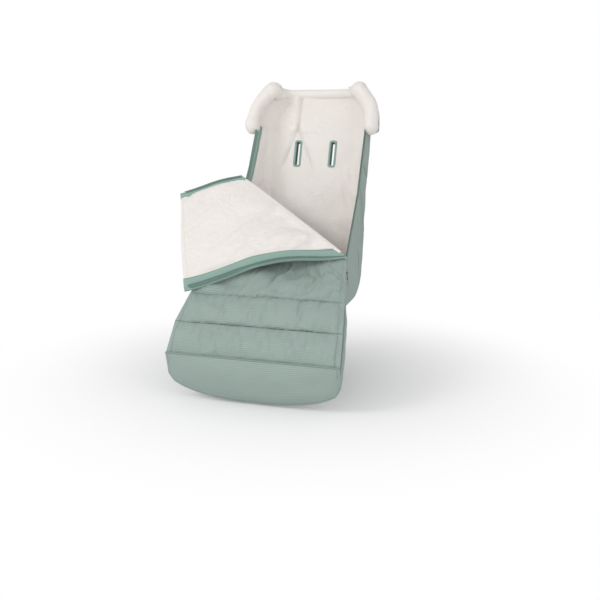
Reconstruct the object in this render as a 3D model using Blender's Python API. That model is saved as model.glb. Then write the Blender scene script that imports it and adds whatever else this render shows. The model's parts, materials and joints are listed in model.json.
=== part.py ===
"""Stroller footmuff: a padded bag that lies on a pushchair seat, with its zipped cover partly folded open.

Metres, +Z up. The foot end faces -Y, and +X is the right-hand side as seen from the foot end.
The origin is the centre of the flat grip panel under the seat.
A station is a place along the bag: 0 at the toe seam, 3 at the right fold end, 8 at the top of the wings.
"""

import math

import bpy
from mathutils import Matrix, Vector

# Side outline of the base
LEG_LENGTH = 0.214
LEG_SLOPE_DEG = 53.5
SEAT_DEPTH = 0.244
BACK_LENGTH = 0.471
BACK_LEAN_DEG = 17.5
HEAD_LENGTH = 0.100
CORNER_SOFTENING = 0.055

# Half widths of the bag
FOOT_HALF = 0.208
KNEE_HALF = 0.190
LAP_HALF = 0.160
BACK_HALF = 0.150
HEAD_HALF = 0.175

# Height of the zip line over the base, square to the leg, the seat and the back
FOOT_LIFT = 0.072
SHIN_LIFT = 0.076
KNEE_LIFT = 0.061
LAP_LIFT = 0.120
HIP_LIFT = 0.162
WAIST_LIFT = 0.294
BACK_WING = 0.108
TOP_WING = 0.086

# Layers of the padding
SHELL = 0.0014
WADDING = 0.0075
FLEECE = 0.0075
CLEARANCE = 0.0003
EDGE_TAPER_share = 0.35
COVER_EDGE_WADDING = 0.0010
COVER_EDGE_FLEECE = 0.0014
CHANNEL_CROWN = 0.011
LAP_CROWN = 0.010
LAP_CROWN_REACH_share = 0.40
LAP_SAG = 0.013
COVER_EDGE_DIP = 0.004
COVER_EDGE_LIFT = 0.003
EDGE_LIFT_STATIONS = (2.5, 5.0)
DIP_START_share = 0.8
INNER_CROWN = 0.009
FLAP_CROWN = 0.004
FLAP_LOFT = 0.005
FLAP_CORNER_REACH = 0.0115
TOE_CROWN = 0.013
LOBE_LOFT = 0.0125

# Zips
BASE_ZIP_REACH = 0.012
COVER_ZIP_REACH = 0.020
ZIP_INSET = 0.003
BEAD_WIDTH = 0.0022
BEAD_THICKNESS = 0.0024
BEAD_GAP = 0.0016
TAPE_THICKNESS = 0.0010
COVER_TAPE_CLEARANCE = 0.0013
FLAP_TAPE_CLEARANCES = {"right": 0.0008, "left": 0.0004}
TAPE_INSET = 0.0034
ROOT_share = 0.5
FLAP_ZIP_START = 0.26
FACING_WIDTH = 0.019
FACING_THICKNESS = 0.0009
FACING_CLEARANCE = 0.0009
BAND_WIDTH = 0.025

# Sliders and pullers
SLIDER_LENGTH = 0.011
SLIDER_CLEARANCE = 0.0003
SLIDER_WALL = 0.0010
NECK_HALF = 0.00045
POST_RADIUS = 0.0012
POST_HEAD_RADIUS = 0.0024
POST_HEAD_HEIGHT = 0.0009
POST_SINK = 0.0005
PULLER_STAND = 0.0034
PULLER_LENGTH = 0.017
PULLER_WIDTH = 0.0062
PULLER_TIP_WIDTH = 0.0048
PULLER_THICKNESS = 0.0014
EYE_CLEARANCE = 0.0004
TIP_HOLE_RADIUS = 0.0013
TIP_HOLE_SETBACK = 0.0029
LOOP_LENGTH = 0.017
LOOP_HALF_WIDTH = 0.0018
LOOP_RADIUS = 0.0008
STOP_LENGTH = 0.005
STOP_HALF_HEIGHT = 0.0017
SLIDER_STATIONS = (("right", 1, 2.86), ("left", -1, 5.82))

# Fold of the flap
FOLD_GAP = 0.0025
FLAP_OPEN_DEG = 163.5

# Harness slots
SHOULDER_SLOT = 0.062
SHOULDER_SLOT_SPACING = 0.096
SHOULDER_SLOT_HEIGHT = 0.385
WAIST_SLOT = 0.042
WAIST_SLOT_SPACING = 0.170
WAIST_SLOT_SETBACK = 0.062
CROTCH_SLOT = 0.040
CROTCH_SLOT_SETBACK = 0.062
SLOT_WIDTH = 0.010
BINDING_THICKNESS = 0.0016
BINDING_PROUD = 0.0006
CUT_OVERRUN = 0.006

# Head pocket, rear strap and grip panel
HEAD_DEPTH = 0.086
HEAD_TOP_DEPTH = 0.052
HEAD_TOP_HALF = 0.128
TOP_CURL = 0.026
POCKET_GAP = 0.034
POCKET_SEAM_STAND = 0.0005
POCKET_THICKNESS = 0.0014
ELASTIC_HEIGHT = 0.009
ELASTIC_THICKNESS = 0.0030
STRAP_HEIGHT = 0.205
STRAP_WIDTH = 0.025
STRAP_THICKNESS = 0.0016
STRAP_ANCHOR = 0.092
STRAP_ANCHOR_LENGTH = 0.016
STRAP_STAND = 0.032
STRAP_LAP = 0.034
STUD_RADIUS = 0.0062
STUD_POST_RADIUS = 0.0036
STUD_DISC = 0.0012
GRIP_WIDTH = 0.200
GRIP_DEPTH = 0.070
GRIP_THICKNESS = 0.0012

# Stations, each as shares: place of the base line, place of the zip line, width, flat floor, corner rise
BASE_RUN_shares = (
    ("leg", 0.0), ("leg", 0.45), ("leg", 0.85),
    ("seat", 0.12), ("seat", 0.42), ("seat", 0.80),
    ("back", 0.10), ("back", 0.55), ("back", 0.943),
)
ZIP_PLACE_shares = (0.277, 0.649, 1.026, 0.284, 0.421, 0.641, 0.861, 0.684, 0.943)
WIDTH_shares = (0.0, 0.3, 1.0, 0.0, 0.2, 0.35, 0.5, 0.8, 1.0)
FLAT_shares = (0.08, 0.35, 0.55, 0.66, 0.70, 0.70, 0.70, 0.68, 0.66)
RISE_shares = (0.74, 0.72, 0.60, 0.34, 0.24, 0.19, 0.17, 0.48, 0.48)
HEAD_FLAT_share = 0.62
HEAD_RISE_share = 0.62
HEAD_TOP_PADDING_share = 0.6
CROWN_POWER = 0.7
SOFT_STEP = 0.06
SOFT_WEIGHTS = ((-1.0, 1.0), (-0.5, 2.0), (0.0, 3.0), (0.5, 2.0), (1.0, 1.0))

# Stations of the parts' ends
KNEE_STATION = 2.5
RIGHT_FOLD_STATION = 3
CREASE_STATION = 5.5
LEFT_FOLD_STATION = 6
TOP_STATION = 8
FLAP_HEM_STATION = 8.13
BASE_STATIONS = (
    0.0, 0.5, 1.0, 1.5, 2.0, 2.25, 2.5, 2.75, 3.0, 3.5, 4.0, 4.5, 5.0, 5.25, 5.5, 5.75, 6.0, 6.5, 7.0, 7.5, 8.0,
)
# Places round half of a section: 0 to 1 the floor, 1 to 2 the corner, 2 to 3 the side wall
WALL_MIDDLE = 2.5
HALF_SECTION = (0.0, 1.0, 1.33, 1.66, 2.0, WALL_MIDDLE, 3.0)
SECTION = tuple(-t for t in reversed(HALF_SECTION[1:])) + HALF_SECTION
LINING_SECTION = tuple(t for t in SECTION if abs(t) != WALL_MIDDLE)

# Seams of the lower cover, as shares of its height, and the rows between them
SEAM_B_share = 0.25
SEAM_A_share = 0.47
CHANNEL_ROW_shares = (0.0, 0.14, 0.5, 0.86)
LAP_ROW_shares = (0.0, 0.1, 0.25, 0.5, 0.75, 0.9)
COLUMN_shares = (0.0, 0.04, 0.15, 0.32, 0.5, 0.68, 0.85, 0.96, 1.0)
INNER_COLUMN_shares = (0.0, 0.1, 0.3, 0.5, 0.7, 0.9, 1.0)
FLAP_ROW_shares = (0.0, 0.06, 0.182, 0.38, 0.461, 0.568, 0.777, 0.94, 1.0)
TOE_COLUMN_shares = (-1.0, -0.96, -0.84, -0.66, -0.44, -0.22, 0.0, 0.22, 0.44, 0.66, 0.84, 0.96, 1.0)
TOE_ROW_shares = (0.0, 0.1, 0.35, 0.65, 0.9, 1.0)
HEAD_ROW_shares = (0.0, 0.3, 0.6, 0.82, 1.0)
POCKET_ROW_shares = (0.14, 0.4, 0.65, 0.85, 0.97)
POCKET_REACH = 1.33
POCKET_COLUMN_shares = (-1.0, -0.94, -0.8, -0.5, -0.2, 0.2, 0.5, 0.8, 0.94, 1.0)
STRAP_BOW_shares = ((0.0, 0.0), (0.12, 0.38), (0.35, 0.8), (0.62, 1.0), (1.0, 1.0))

COLOURS = {
    "shell_fabric": ((0.34, 0.45, 0.40), 0.85, 0.0),
    "lining_fleece": ((0.84, 0.80, 0.77), 1.0, 0.0),
    "wadding": ((0.90, 0.90, 0.88), 1.0, 0.0),
    "facing_fabric": ((0.28, 0.42, 0.37), 0.8, 0.0),
    "zip_tape": ((0.27, 0.41, 0.36), 0.75, 0.0),
    "black_metal": ((0.02, 0.02, 0.022), 0.4, 1.0),
    "grey_cord": ((0.55, 0.56, 0.56), 0.8, 0.0),
    "strap_webbing": ((0.05, 0.05, 0.055), 0.8, 0.0),
    "grip_mesh": ((0.10, 0.11, 0.11), 0.9, 0.0),
}


def clear_scene():
    for obj in list(bpy.data.objects):
        bpy.data.objects.remove(obj, do_unlink=True)


def make_material(name):
    colour, roughness, metallic = COLOURS[name]
    material = bpy.data.materials.get(name) or bpy.data.materials.new(name)
    material.use_nodes = True
    shader = material.node_tree.nodes["Principled BSDF"]
    shader.inputs["Base Color"].default_value = (*colour, 1.0)
    shader.inputs["Roughness"].default_value = roughness
    shader.inputs["Metallic"].default_value = metallic
    return material


def add_empty(name, rest, parent=None):
    """An empty on a joint's axis; parent is (empty, frame) of the joint that carries it."""
    empty = bpy.data.objects.new(name, None)
    bpy.context.collection.objects.link(empty)
    if parent:
        empty.parent = parent[0]
        empty.matrix_basis = parent[1].inverted() @ rest
    else:
        empty.matrix_basis = rest
    return empty


def add_solid(name, points, faces, material, joint=None):
    """Makes the object; joint is (empty, frame): the points are stated where that frame is, and ride on the empty."""
    if joint:
        to_local = joint[1].inverted()
        points = [to_local @ point for point in points]
    mesh = bpy.data.meshes.new(name)
    mesh.from_pydata(points, [], faces)
    volume = 0.0
    for face in faces:
        for second, third in zip(face[1:], face[2:]):
            volume += points[face[0]].dot(points[second].cross(points[third]))
    if volume < 0.0:
        mesh.flip_normals()
    mesh.validate()
    obj = bpy.data.objects.new(name, mesh)
    bpy.context.collection.objects.link(obj)
    obj.data.materials.append(make_material(material))
    obj.data.shade_smooth()
    obj.data.set_sharp_from_angle(angle=math.radians(35.0))
    if joint:
        obj.parent = joint[0]
    return obj


def add_loft(name, rings, material, joint=None, strip_caps=False):
    """A closed body through rings of points. strip_caps pairs each ring's first half with its second.

    The two halves are split along matching diagonals, so that layers nest without touching.
    """
    count = len(rings[0])
    points = [point for ring in rings for point in ring]
    faces = []
    for row in range(len(rings) - 1):
        start, following = row * count, (row + 1) * count
        for i in range(count):
            j = (i + 1) % count
            if i < count // 2:
                faces.append((start + i, start + j, following + j))
                faces.append((start + i, following + j, following + i))
            else:
                faces.append((start + i, start + j, following + i))
                faces.append((start + j, following + j, following + i))
    for start, turned in ((0, True), ((len(rings) - 1) * count, False)):
        if strip_caps:
            for i in range(count // 2 - 1):
                opposite = count - 1 - i
                cap = (start + i, start + i + 1, start + opposite - 1, start + opposite)
                faces.append(cap[::-1] if turned else cap)
        else:
            cap = tuple(range(start, start + count))
            faces.append(cap[::-1] if turned else cap)
    return add_solid(name, points, faces, material, joint)


def add_sheet_solid(name, outer_rows, inner_rows, material, joint=None):
    rings = [list(outer) + list(reversed(inner)) for outer, inner in zip(outer_rows, inner_rows)]
    return add_loft(name, rings, material, joint, strip_caps=True)


def add_box(name, low, high, place, material, joint=None):
    """A box between two corners in the frame of place."""
    rings = []
    for z in (low[2], high[2]):
        corners = ((low[0], low[1]), (high[0], low[1]), (high[0], high[1]), (low[0], high[1]))
        rings.append([place @ Vector((x, y, z)) for x, y in corners])
    return add_loft(name, rings, material, joint)


def add_frame(name, half_size, border, low, high, place, material):
    """A rectangular tube along local Z; half_size is half of its bore."""
    rings = []
    for grow, z in ((border, low), (border, high), (0.0, high), (0.0, low)):
        x, y = half_size[0] + grow, half_size[1] + grow
        rings.append([place @ Vector((a * x, b * y, z)) for a, b in ((-1, -1), (1, -1), (1, 1), (-1, 1))])
    points = [point for ring in rings for point in ring]
    faces = []
    for row in range(4):
        following = (row + 1) % 4
        for i in range(4):
            j = (i + 1) % 4
            faces.append((row * 4 + i, row * 4 + j, following * 4 + j, following * 4 + i))
    return add_solid(name, points, faces, material)


def circle(radius, sides, height):
    """Points of a circle about local Z."""
    turns = [2.0 * math.pi * i / sides for i in range(sides)]
    return [Vector((radius * math.cos(a), radius * math.sin(a), height)) for a in turns]


def add_turned(name, profile, place, material, joint=None, sides=16):
    """A round body about local Z from (radius, height) pairs."""
    rings = [[place @ p for p in circle(radius, sides, height)] for radius, height in profile]
    return add_loft(name, rings, material, joint)


def hide_helper(obj):
    obj.hide_render = True
    obj.display_type = "WIRE"


def boolean(obj, other, operation):
    hide_helper(other)
    modifier = obj.modifiers.new(other.name, "BOOLEAN")
    modifier.object = other
    modifier.operation = operation
    modifier.solver = "EXACT"


def axes_matrix(origin, x_axis, y_axis, z_axis):
    matrix = Matrix((x_axis, y_axis, z_axis)).transposed().to_4x4()
    matrix.translation = origin
    return matrix


# Base outline in the side view, as (y, z)
LEG_UP = Vector((math.cos(math.radians(LEG_SLOPE_DEG)), math.sin(math.radians(LEG_SLOPE_DEG))))
LEG_OUT = Vector((-LEG_UP.y, LEG_UP.x))
BACK_UP = Vector((math.sin(math.radians(BACK_LEAN_DEG)), math.cos(math.radians(BACK_LEAN_DEG))))
BACK_OUT = Vector((-BACK_UP.y, BACK_UP.x))
SEAT_LEVEL = GRIP_THICKNESS + CLEARANCE
KNEE = Vector((-SEAT_DEPTH / 2, SEAT_LEVEL))
CREASE = Vector((SEAT_DEPTH / 2, SEAT_LEVEL))
FOOT = KNEE - LEG_UP * LEG_LENGTH


def leg_point(share, lift):
    return FOOT + LEG_UP * (share * LEG_LENGTH) + LEG_OUT * lift


def seat_point(share, lift):
    return KNEE + Vector((share * SEAT_DEPTH, lift))


def back_point(along, lift):
    return CREASE + BACK_UP * along + BACK_OUT * lift


def softened(curve, at, reach):
    """A weighted mean round a place of a curve: it rounds the corners and keeps straight stretches straight."""
    total = sum(weight for _, weight in SOFT_WEIGHTS)
    points = [curve(at + offset * reach) * (weight / total) for offset, weight in SOFT_WEIGHTS]
    return sum(points[1:], points[0])


def base_run(station):
    part, share = BASE_RUN_shares[station]
    return {
        "leg": share * LEG_LENGTH,
        "seat": LEG_LENGTH + share * SEAT_DEPTH,
        "back": LEG_LENGTH + SEAT_DEPTH + share * BACK_LENGTH,
    }[part]


def sharp_base_line(run):
    if run < LEG_LENGTH:
        return FOOT + LEG_UP * run
    if run < LEG_LENGTH + SEAT_DEPTH:
        return KNEE + Vector((run - LEG_LENGTH, 0.0))
    return CREASE + BACK_UP * (run - LEG_LENGTH - SEAT_DEPTH)


def mix(low, high, share):
    return low + (high - low) * share


def zip_knot(station):
    """The zip line's corner at a whole station, on the right side."""
    place = ZIP_PLACE_shares[station]
    width = WIDTH_shares[station]
    if station < 3:
        lift = (FOOT_LIFT, SHIN_LIFT, KNEE_LIFT)[station]
        side, half = leg_point(place, lift), mix(FOOT_HALF, KNEE_HALF, width)
    elif station < 7:
        lift = (LAP_LIFT, HIP_LIFT, (HIP_LIFT + WAIST_LIFT) / 2, WAIST_LIFT)[station - 3]
        side, half = seat_point(place, lift), mix(LAP_HALF, BACK_HALF, width)
    else:
        lift = (BACK_WING, TOP_WING)[station - 7]
        side, half = back_point(place * BACK_LENGTH, lift), mix(LAP_HALF, BACK_HALF, width)
    return Vector((half, side.x, side.y))


def between(values, station):
    """Straight between whole stations, and on along the end stretches."""
    low = min(max(int(math.floor(station)), 0), TOP_STATION - 1)
    return mix(values(low), values(low + 1), station - low)


def zip_line(station):
    return softened(lambda at: between(zip_knot, at), station, SOFT_STEP)


def base_line(station):
    return softened(sharp_base_line, between(base_run, station), CORNER_SOFTENING)


def u_profile(t, half, flat, rise, height):
    """(across, up) of a flat floor, a quarter-ellipse corner and a straight side wall."""
    if t <= 1.0:
        return flat * t, 0.0
    if t <= 2.0:
        angle = (t - 1.0) * math.pi / 2
        return flat + (half - flat) * math.sin(angle), rise * (1.0 - math.cos(angle))
    return half, rise + (height - rise) * (t - 2.0)


def wing(station):
    """Base point, unit direction up the side wall, wall height and corner rise at a station."""
    foot = base_line(station)
    edge = zip_line(station)
    up = Vector((edge.y, edge.z)) - foot
    height = up.length - BASE_ZIP_REACH
    return foot, up.normalized(), height, height * between(lambda i: RISE_shares[i], station)


def base_point(station, t):
    """Outer face of the base; t below 0 is the left side."""
    foot, up, height, rise = wing(station)
    half = zip_line(station).x
    across, lift = u_profile(abs(t), half, half * between(lambda i: FLAT_shares[i], station), rise, height)
    return Vector((math.copysign(across, t), foot.x + up.x * lift, foot.y + up.y * lift))


def head_point(share, t):
    """Outer face of the head end; share 0 is its seam with the back."""
    along = BASE_RUN_shares[TOP_STATION][1] * BACK_LENGTH + CLEARANCE + share * HEAD_LENGTH
    foot = back_point(along, TOP_CURL * share**3)
    half = mix(HEAD_HALF, HEAD_TOP_HALF, share**3)
    depth = mix(HEAD_DEPTH, HEAD_TOP_DEPTH, share**2)
    across, lift = u_profile(abs(t), half, half * HEAD_FLAT_share, depth * HEAD_RISE_share, depth)
    return Vector((math.copysign(across, t), foot.x + BACK_OUT.x * lift, foot.y + BACK_OUT.y * lift))


def cover_edge(station, side, reach=COVER_ZIP_REACH):
    """Outer edge of the cover beside the zip."""
    up = wing(station)[1]
    point = zip_line(station) + Vector((0.0, up.x, up.y)) * reach
    return Vector((side * point.x, point.y, point.z))


def zip_axes(station):
    """Unit vectors on the right side: along the zip, across it away from the base, and out of the bag."""
    step = SOFT_STEP / 10
    tangent = (zip_line(station + step) - zip_line(station - step)).normalized()
    out = (Vector((1.0, 0.0, 0.0)) - tangent * tangent.x).normalized()
    return tangent, out.cross(tangent), out


def zip_centre(station):
    return zip_line(station) - zip_axes(station)[2] * ZIP_INSET


def mirrored(point, side):
    return Vector((side * point.x, point.y, point.z))


def lower_station(v, last):
    """Station of a row of the lower cover, so that the seams meet both zips at the same stations."""
    if v <= SEAM_B_share:
        return v / SEAM_B_share
    if v <= SEAM_A_share:
        return 1.0 + (v - SEAM_B_share) / (SEAM_A_share - SEAM_B_share)
    return 2.0 + (last - 2.0) * (v - SEAM_A_share) / (1.0 - SEAM_A_share)


def lap_share(v):
    """0 at seam A and below, 1 at the fold."""
    return max(v - SEAM_A_share, 0.0) / (1.0 - SEAM_A_share)


def cover_point(u, v):
    """Lower cover before padding; u runs from the left zip to the right, v from the toe seam to the fold."""
    dip = COVER_EDGE_DIP * edge_fall(max(lap_share(v) - DIP_START_share, 0.0) / (1.0 - DIP_START_share), 2)
    station = lower_station(v, LEFT_FOLD_STATION)
    low, high = EDGE_LIFT_STATIONS
    lift = COVER_EDGE_LIFT * edge_fall(min(max((station - low) / (high - low), 0.0), 1.0), 2)
    left = cover_edge(station, -1, COVER_ZIP_REACH + lift - dip)
    right = cover_edge(lower_station(v, RIGHT_FOLD_STATION), 1)
    return left.lerp(right, u)


def flap_point(u, v):
    """The flap where it lies when closed; v runs from the fold to the top hem, where its left corner lies closer."""
    left = cover_edge(mix(LEFT_FOLD_STATION, FLAP_HEM_STATION, v), -1, mix(COVER_ZIP_REACH, FLAP_CORNER_REACH, max(v, 0.0) ** 0.4))
    right = cover_edge(mix(RIGHT_FOLD_STATION, FLAP_HEM_STATION, v), 1)
    return left.lerp(right, u)


def toe_point(u, v):
    """Back face of the toe panel, in the plane of station 0."""
    foot, up, height, rise = wing(0.0)
    half = zip_line(0.0).x
    flat = half * FLAT_shares[0]
    reach = min(max((abs(u) * half - flat) / (half - flat), 0.0), 1.0)
    low = rise * (1.0 - math.sqrt(1.0 - reach**2))
    lift = mix(low, height + BASE_ZIP_REACH + COVER_ZIP_REACH, v)
    return Vector((u * half, foot.x + up.x * lift, foot.y + up.y * lift))


def surface_normal(surface, a, b, inside):
    """Unit normal of a surface at (a, b), pointing away from the point inside."""
    step = 0.01
    along_a = surface(a + step, b) - surface(a - step, b)
    along_b = surface(a, b + step) - surface(a, b - step)
    normal = along_a.cross(along_b).normalized()
    return normal if normal.dot(surface(a, b) - inside) > 0.0 else -normal


def section_inset(surface, at, t, up, inside, inset):
    """A point inset from a U-shaped surface, measured square to it but kept in its own section plane."""
    step = 0.01
    edge = surface(at, t + step) - surface(at, t - step)
    rise = edge.y * up.x + edge.z * up.y
    in_plane = Vector((rise, -edge.x * up.x, -edge.x * up.y)).normalized()
    return surface(at, t) - in_plane * (inset / surface_normal(surface, at, t, inside).dot(in_plane))


def base_inset(station, t, inset):
    foot, up, height, _ = wing(station)
    inside = Vector((0.0, foot.x + up.x * height, foot.y + up.y * height))
    return section_inset(base_point, station, t, up, inside, inset)


def head_inset(share, t, inset):
    inside = Vector((0.0, *back_point(BACK_LENGTH, HEAD_DEPTH)))
    return section_inset(head_point, share, t, BACK_OUT, inside, inset)


def cover_offset(u, v, offset):
    inside = Vector((0.0, *base_line(lower_station(v, RIGHT_FOLD_STATION))))
    return cover_point(u, v) + surface_normal(cover_point, u, v, inside) * offset


def flap_offset(u, v, offset):
    inside = Vector((0.0, *base_line(mix(LEFT_FOLD_STATION, FLAP_HEM_STATION, v))))
    return flap_point(u, v) + surface_normal(flap_point, u, v, inside) * offset


def wing_taper(t):
    """Thins the padding towards the sewn top of a side wall."""
    return mix(1.0, EDGE_TAPER_share, max(abs(t) - 2.0, 0.0))


def wadding_face(t):
    return SHELL + CLEARANCE + WADDING * wing_taper(t)


def lining_face(t):
    return wadding_face(t) + CLEARANCE + FLEECE * wing_taper(t)


def station_gap(station):
    """The clearance between two parts sewn end to end, as a change of station."""
    run = between(base_run, station + SOFT_STEP) - between(base_run, station - SOFT_STEP)
    return CLEARANCE * SOFT_STEP / run


def stations_between(low, high):
    inner = [s for s in BASE_STATIONS if low + SOFT_STEP < s < high - SOFT_STEP]
    start = low + (station_gap(low) if low > 0.0 else 0.0)
    end = high - (station_gap(high) if high < TOP_STATION else 0.0)
    return [start, *inner, end]


def facing_top(station):
    """Place round the section of the facing's lower edge."""
    _, _, height, rise = wing(station)
    return 3.0 - FACING_WIDTH / (height - rise)


def wall_place(station, t):
    """Section place of a shell or wadding point: one row of them runs along the facing's lower edge."""
    return math.copysign(facing_top(station), t) if abs(t) == WALL_MIDDLE else t


def lining_place(station, t):
    """Section place of a lining point: its side wall ends under the facing."""
    _, _, height, rise = wing(station)
    end = facing_top(station) - CLEARANCE / (height - rise)
    return math.copysign(min(abs(t), end), t)


def build_base_layer(name, low, high, outer, inner, material, section=SECTION, place=wall_place):
    outer_rows, inner_rows = [], []
    for station in stations_between(low, high):
        places = [place(station, t) for t in section]
        outer_rows.append([base_inset(station, t, outer(t)) for t in places])
        inner_rows.append([base_inset(station, t, inner(t)) for t in places])
    return add_sheet_solid(name, outer_rows, inner_rows, material)


def build_base():
    parts = {}
    spans = (("leg", 0.0, KNEE_STATION), ("seat", KNEE_STATION, CREASE_STATION), ("back", CREASE_STATION, TOP_STATION))
    for name, low, high in spans:
        parts[name + "_shell"] = build_base_layer(
            name + "_shell", low, high, lambda t: 0.0, lambda t: SHELL, "shell_fabric"
        )
        parts[name + "_lining"] = build_base_layer(
            name + "_lining", low, high, lambda t: wadding_face(t) + CLEARANCE, lining_face, "lining_fleece",
            LINING_SECTION, lining_place,
        )
        parts[name + "_wadding"] = build_base_layer(
            name + "_wadding", low, high, lambda t: SHELL + CLEARANCE, wadding_face, "wadding"
        )
    return parts


def build_facings():
    for side, word in ((1, "right"), (-1, "left")):
        outer_rows, inner_rows = [], []
        for station in stations_between(0.0, TOP_STATION):
            places = [side * t for t in (facing_top(station), 3.0)]
            start = [wadding_face(t) + FACING_CLEARANCE for t in places]
            outer_rows.append([base_inset(station, t, s) for t, s in zip(places, start)])
            inner_rows.append([base_inset(station, t, s + FACING_THICKNESS) for t, s in zip(places, start)])
        add_sheet_solid("wing_facing_" + word, outer_rows, inner_rows, "facing_fabric")


def edge_fall(share, power):
    """1 in the middle of a panel and 0 at its two edges."""
    return 1.0 - abs(2.0 * share - 1.0) ** power


def lap_sag(u, v):
    """Drop of the cover under the weight of the folded flap."""
    lap = lap_share(v)
    return LAP_SAG * edge_fall(lap, 6) * min(lap / LAP_CROWN_REACH_share, 1.0) * edge_fall(u, 6 if u < 0.5 else 2)


def channel_crown(u, v):
    """Swell of the lower cover's outer face between its seams."""
    lap = lap_share(v)
    if lap > 0.0:
        swell = LAP_CROWN * edge_fall(min(lap / LAP_CROWN_REACH_share, 1.0), 2) ** CROWN_POWER
        return swell * edge_fall(u, 6) - lap_sag(u, v)
    for low, high in ((0.0, SEAM_B_share), (SEAM_B_share, SEAM_A_share)):
        if v <= high:
            return CHANNEL_CROWN * max(edge_fall((v - low) / (high - low), 2), 0.0) ** CROWN_POWER * edge_fall(u, 6)
    return 0.0


def cover_inner_face(u, v):
    thickness = SHELL + COVER_EDGE_WADDING + COVER_EDGE_FLEECE + 2 * CLEARANCE
    return thickness + INNER_CROWN * edge_fall(u, 2) * edge_fall(v, 6) + lap_sag(u, v)


def lower_rows():
    rows = []
    seams = (0.0, SEAM_B_share, SEAM_A_share)
    for low, high in zip(seams, seams[1:]):
        rows += [mix(low, high, share) for share in CHANNEL_ROW_shares]
    rows += [mix(SEAM_A_share, 1.0, share) for share in LAP_ROW_shares]
    left = cover_edge(LEFT_FOLD_STATION, -1) - cover_edge(lower_station(SEAM_A_share, LEFT_FOLD_STATION), -1)
    return rows + [1.0 - FOLD_GAP / left.length * (1.0 - SEAM_A_share)]


def build_lower_cover():
    layers = (
        ("cover_shell", lambda u, v: channel_crown(u, v), lambda u, v: channel_crown(u, v) - SHELL, "shell_fabric"),
        (
            "cover_wadding",
            lambda u, v: channel_crown(u, v) - SHELL - CLEARANCE,
            lambda u, v: -cover_inner_face(u, v) + COVER_EDGE_FLEECE + CLEARANCE,
            "wadding",
        ),
        (
            "cover_lining",
            lambda u, v: -cover_inner_face(u, v) + COVER_EDGE_FLEECE,
            lambda u, v: -cover_inner_face(u, v),
            "lining_fleece",
        ),
    )
    for name, outer, inner, material in layers:
        outer_rows = [[cover_offset(u, v, outer(u, v)) for u in COLUMN_shares] for v in lower_rows()]
        inner_rows = [[cover_offset(u, v, inner(u, v)) for u in COLUMN_shares] for v in lower_rows()]
        add_sheet_solid(name, outer_rows, inner_rows, material)


def flap_crown(u, v):
    return FLAP_CROWN * edge_fall(u, 4) * edge_fall(v, 4)


def flap_inner_face(u, v):
    thickness = SHELL + COVER_EDGE_WADDING + COVER_EDGE_FLEECE + 2 * CLEARANCE
    return thickness + FLAP_LOFT * edge_fall(u, 2) * edge_fall(v, 4)


def band_face(u, v):
    return flap_inner_face(u, v) - COVER_EDGE_FLEECE + FACING_THICKNESS


def flap_rows():
    short_side = (cover_edge(TOP_STATION, -1) - cover_edge(LEFT_FOLD_STATION, -1)).length
    start = FOLD_GAP / short_side
    return [mix(start, 1.0, share) for share in FLAP_ROW_shares]


def band_share(v):
    return BAND_WIDTH / (flap_point(1.0, v) - flap_point(0.0, v)).length


def fold_joint():
    """The fold's frame with the flap closed, and where the same frame is at rest, with the flap folded open."""
    right = cover_edge(RIGHT_FOLD_STATION, 1)
    left = cover_edge(LEFT_FOLD_STATION, -1)
    along = (left - right).normalized()
    side = along.cross(Vector((0.0, 0.0, 1.0))).normalized()
    closed = axes_matrix(right, along, side, along.cross(side))
    rest = closed @ Matrix.Rotation(-math.radians(FLAP_OPEN_DEG), 4, "X")
    return add_empty("flap_fold", rest), closed


def flap_columns(v):
    """Columns of every flap layer; the second from each side runs along the inner edge of a facing band."""
    band = band_share(v)
    return [0.0, *[mix(band, 1.0 - band, share) for share in INNER_COLUMN_shares], 1.0]


def flap_lining_columns(v):
    columns = flap_columns(v)[1:-1]
    clear = CLEARANCE / BAND_WIDTH * band_share(v)
    return [columns[0] + clear, *columns[1:-1], columns[-1] - clear]


def build_flap(joint):
    def lining_start(u, v):
        return -flap_inner_face(u, v) + COVER_EDGE_FLEECE

    def lining_end(u, v):
        return -flap_inner_face(u, v)

    def band_end(u, v):
        return lining_start(u, v) - FACING_THICKNESS

    def shell_end(u, v):
        return flap_crown(u, v) - SHELL

    def wadding_start(u, v):
        return shell_end(u, v) - CLEARANCE

    def wadding_end(u, v):
        return lining_start(u, v) + CLEARANCE

    pieces = (
        ("flap_shell", flap_columns, flap_crown, shell_end, "shell_fabric"),
        ("flap_wadding", flap_columns, wadding_start, wadding_end, "wadding"),
        ("flap_lining", flap_lining_columns, lining_start, lining_end, "lining_fleece"),
        ("flap_band_right", lambda v: flap_columns(v)[-2:], lining_start, band_end, "facing_fabric"),
        ("flap_band_left", lambda v: flap_columns(v)[:2], lining_start, band_end, "facing_fabric"),
    )
    for name, columns, outer, inner, material in pieces:
        outer_rows = [[flap_offset(u, v, outer(u, v)) for u in columns(v)] for v in flap_rows()]
        inner_rows = [[flap_offset(u, v, inner(u, v)) for u in columns(v)] for v in flap_rows()]
        add_sheet_solid(name, outer_rows, inner_rows, material, joint)


def toe_swell(u, v):
    return TOE_CROWN * edge_fall((u + 1.0) / 2.0, 4) * edge_fall(v, 3)


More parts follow.
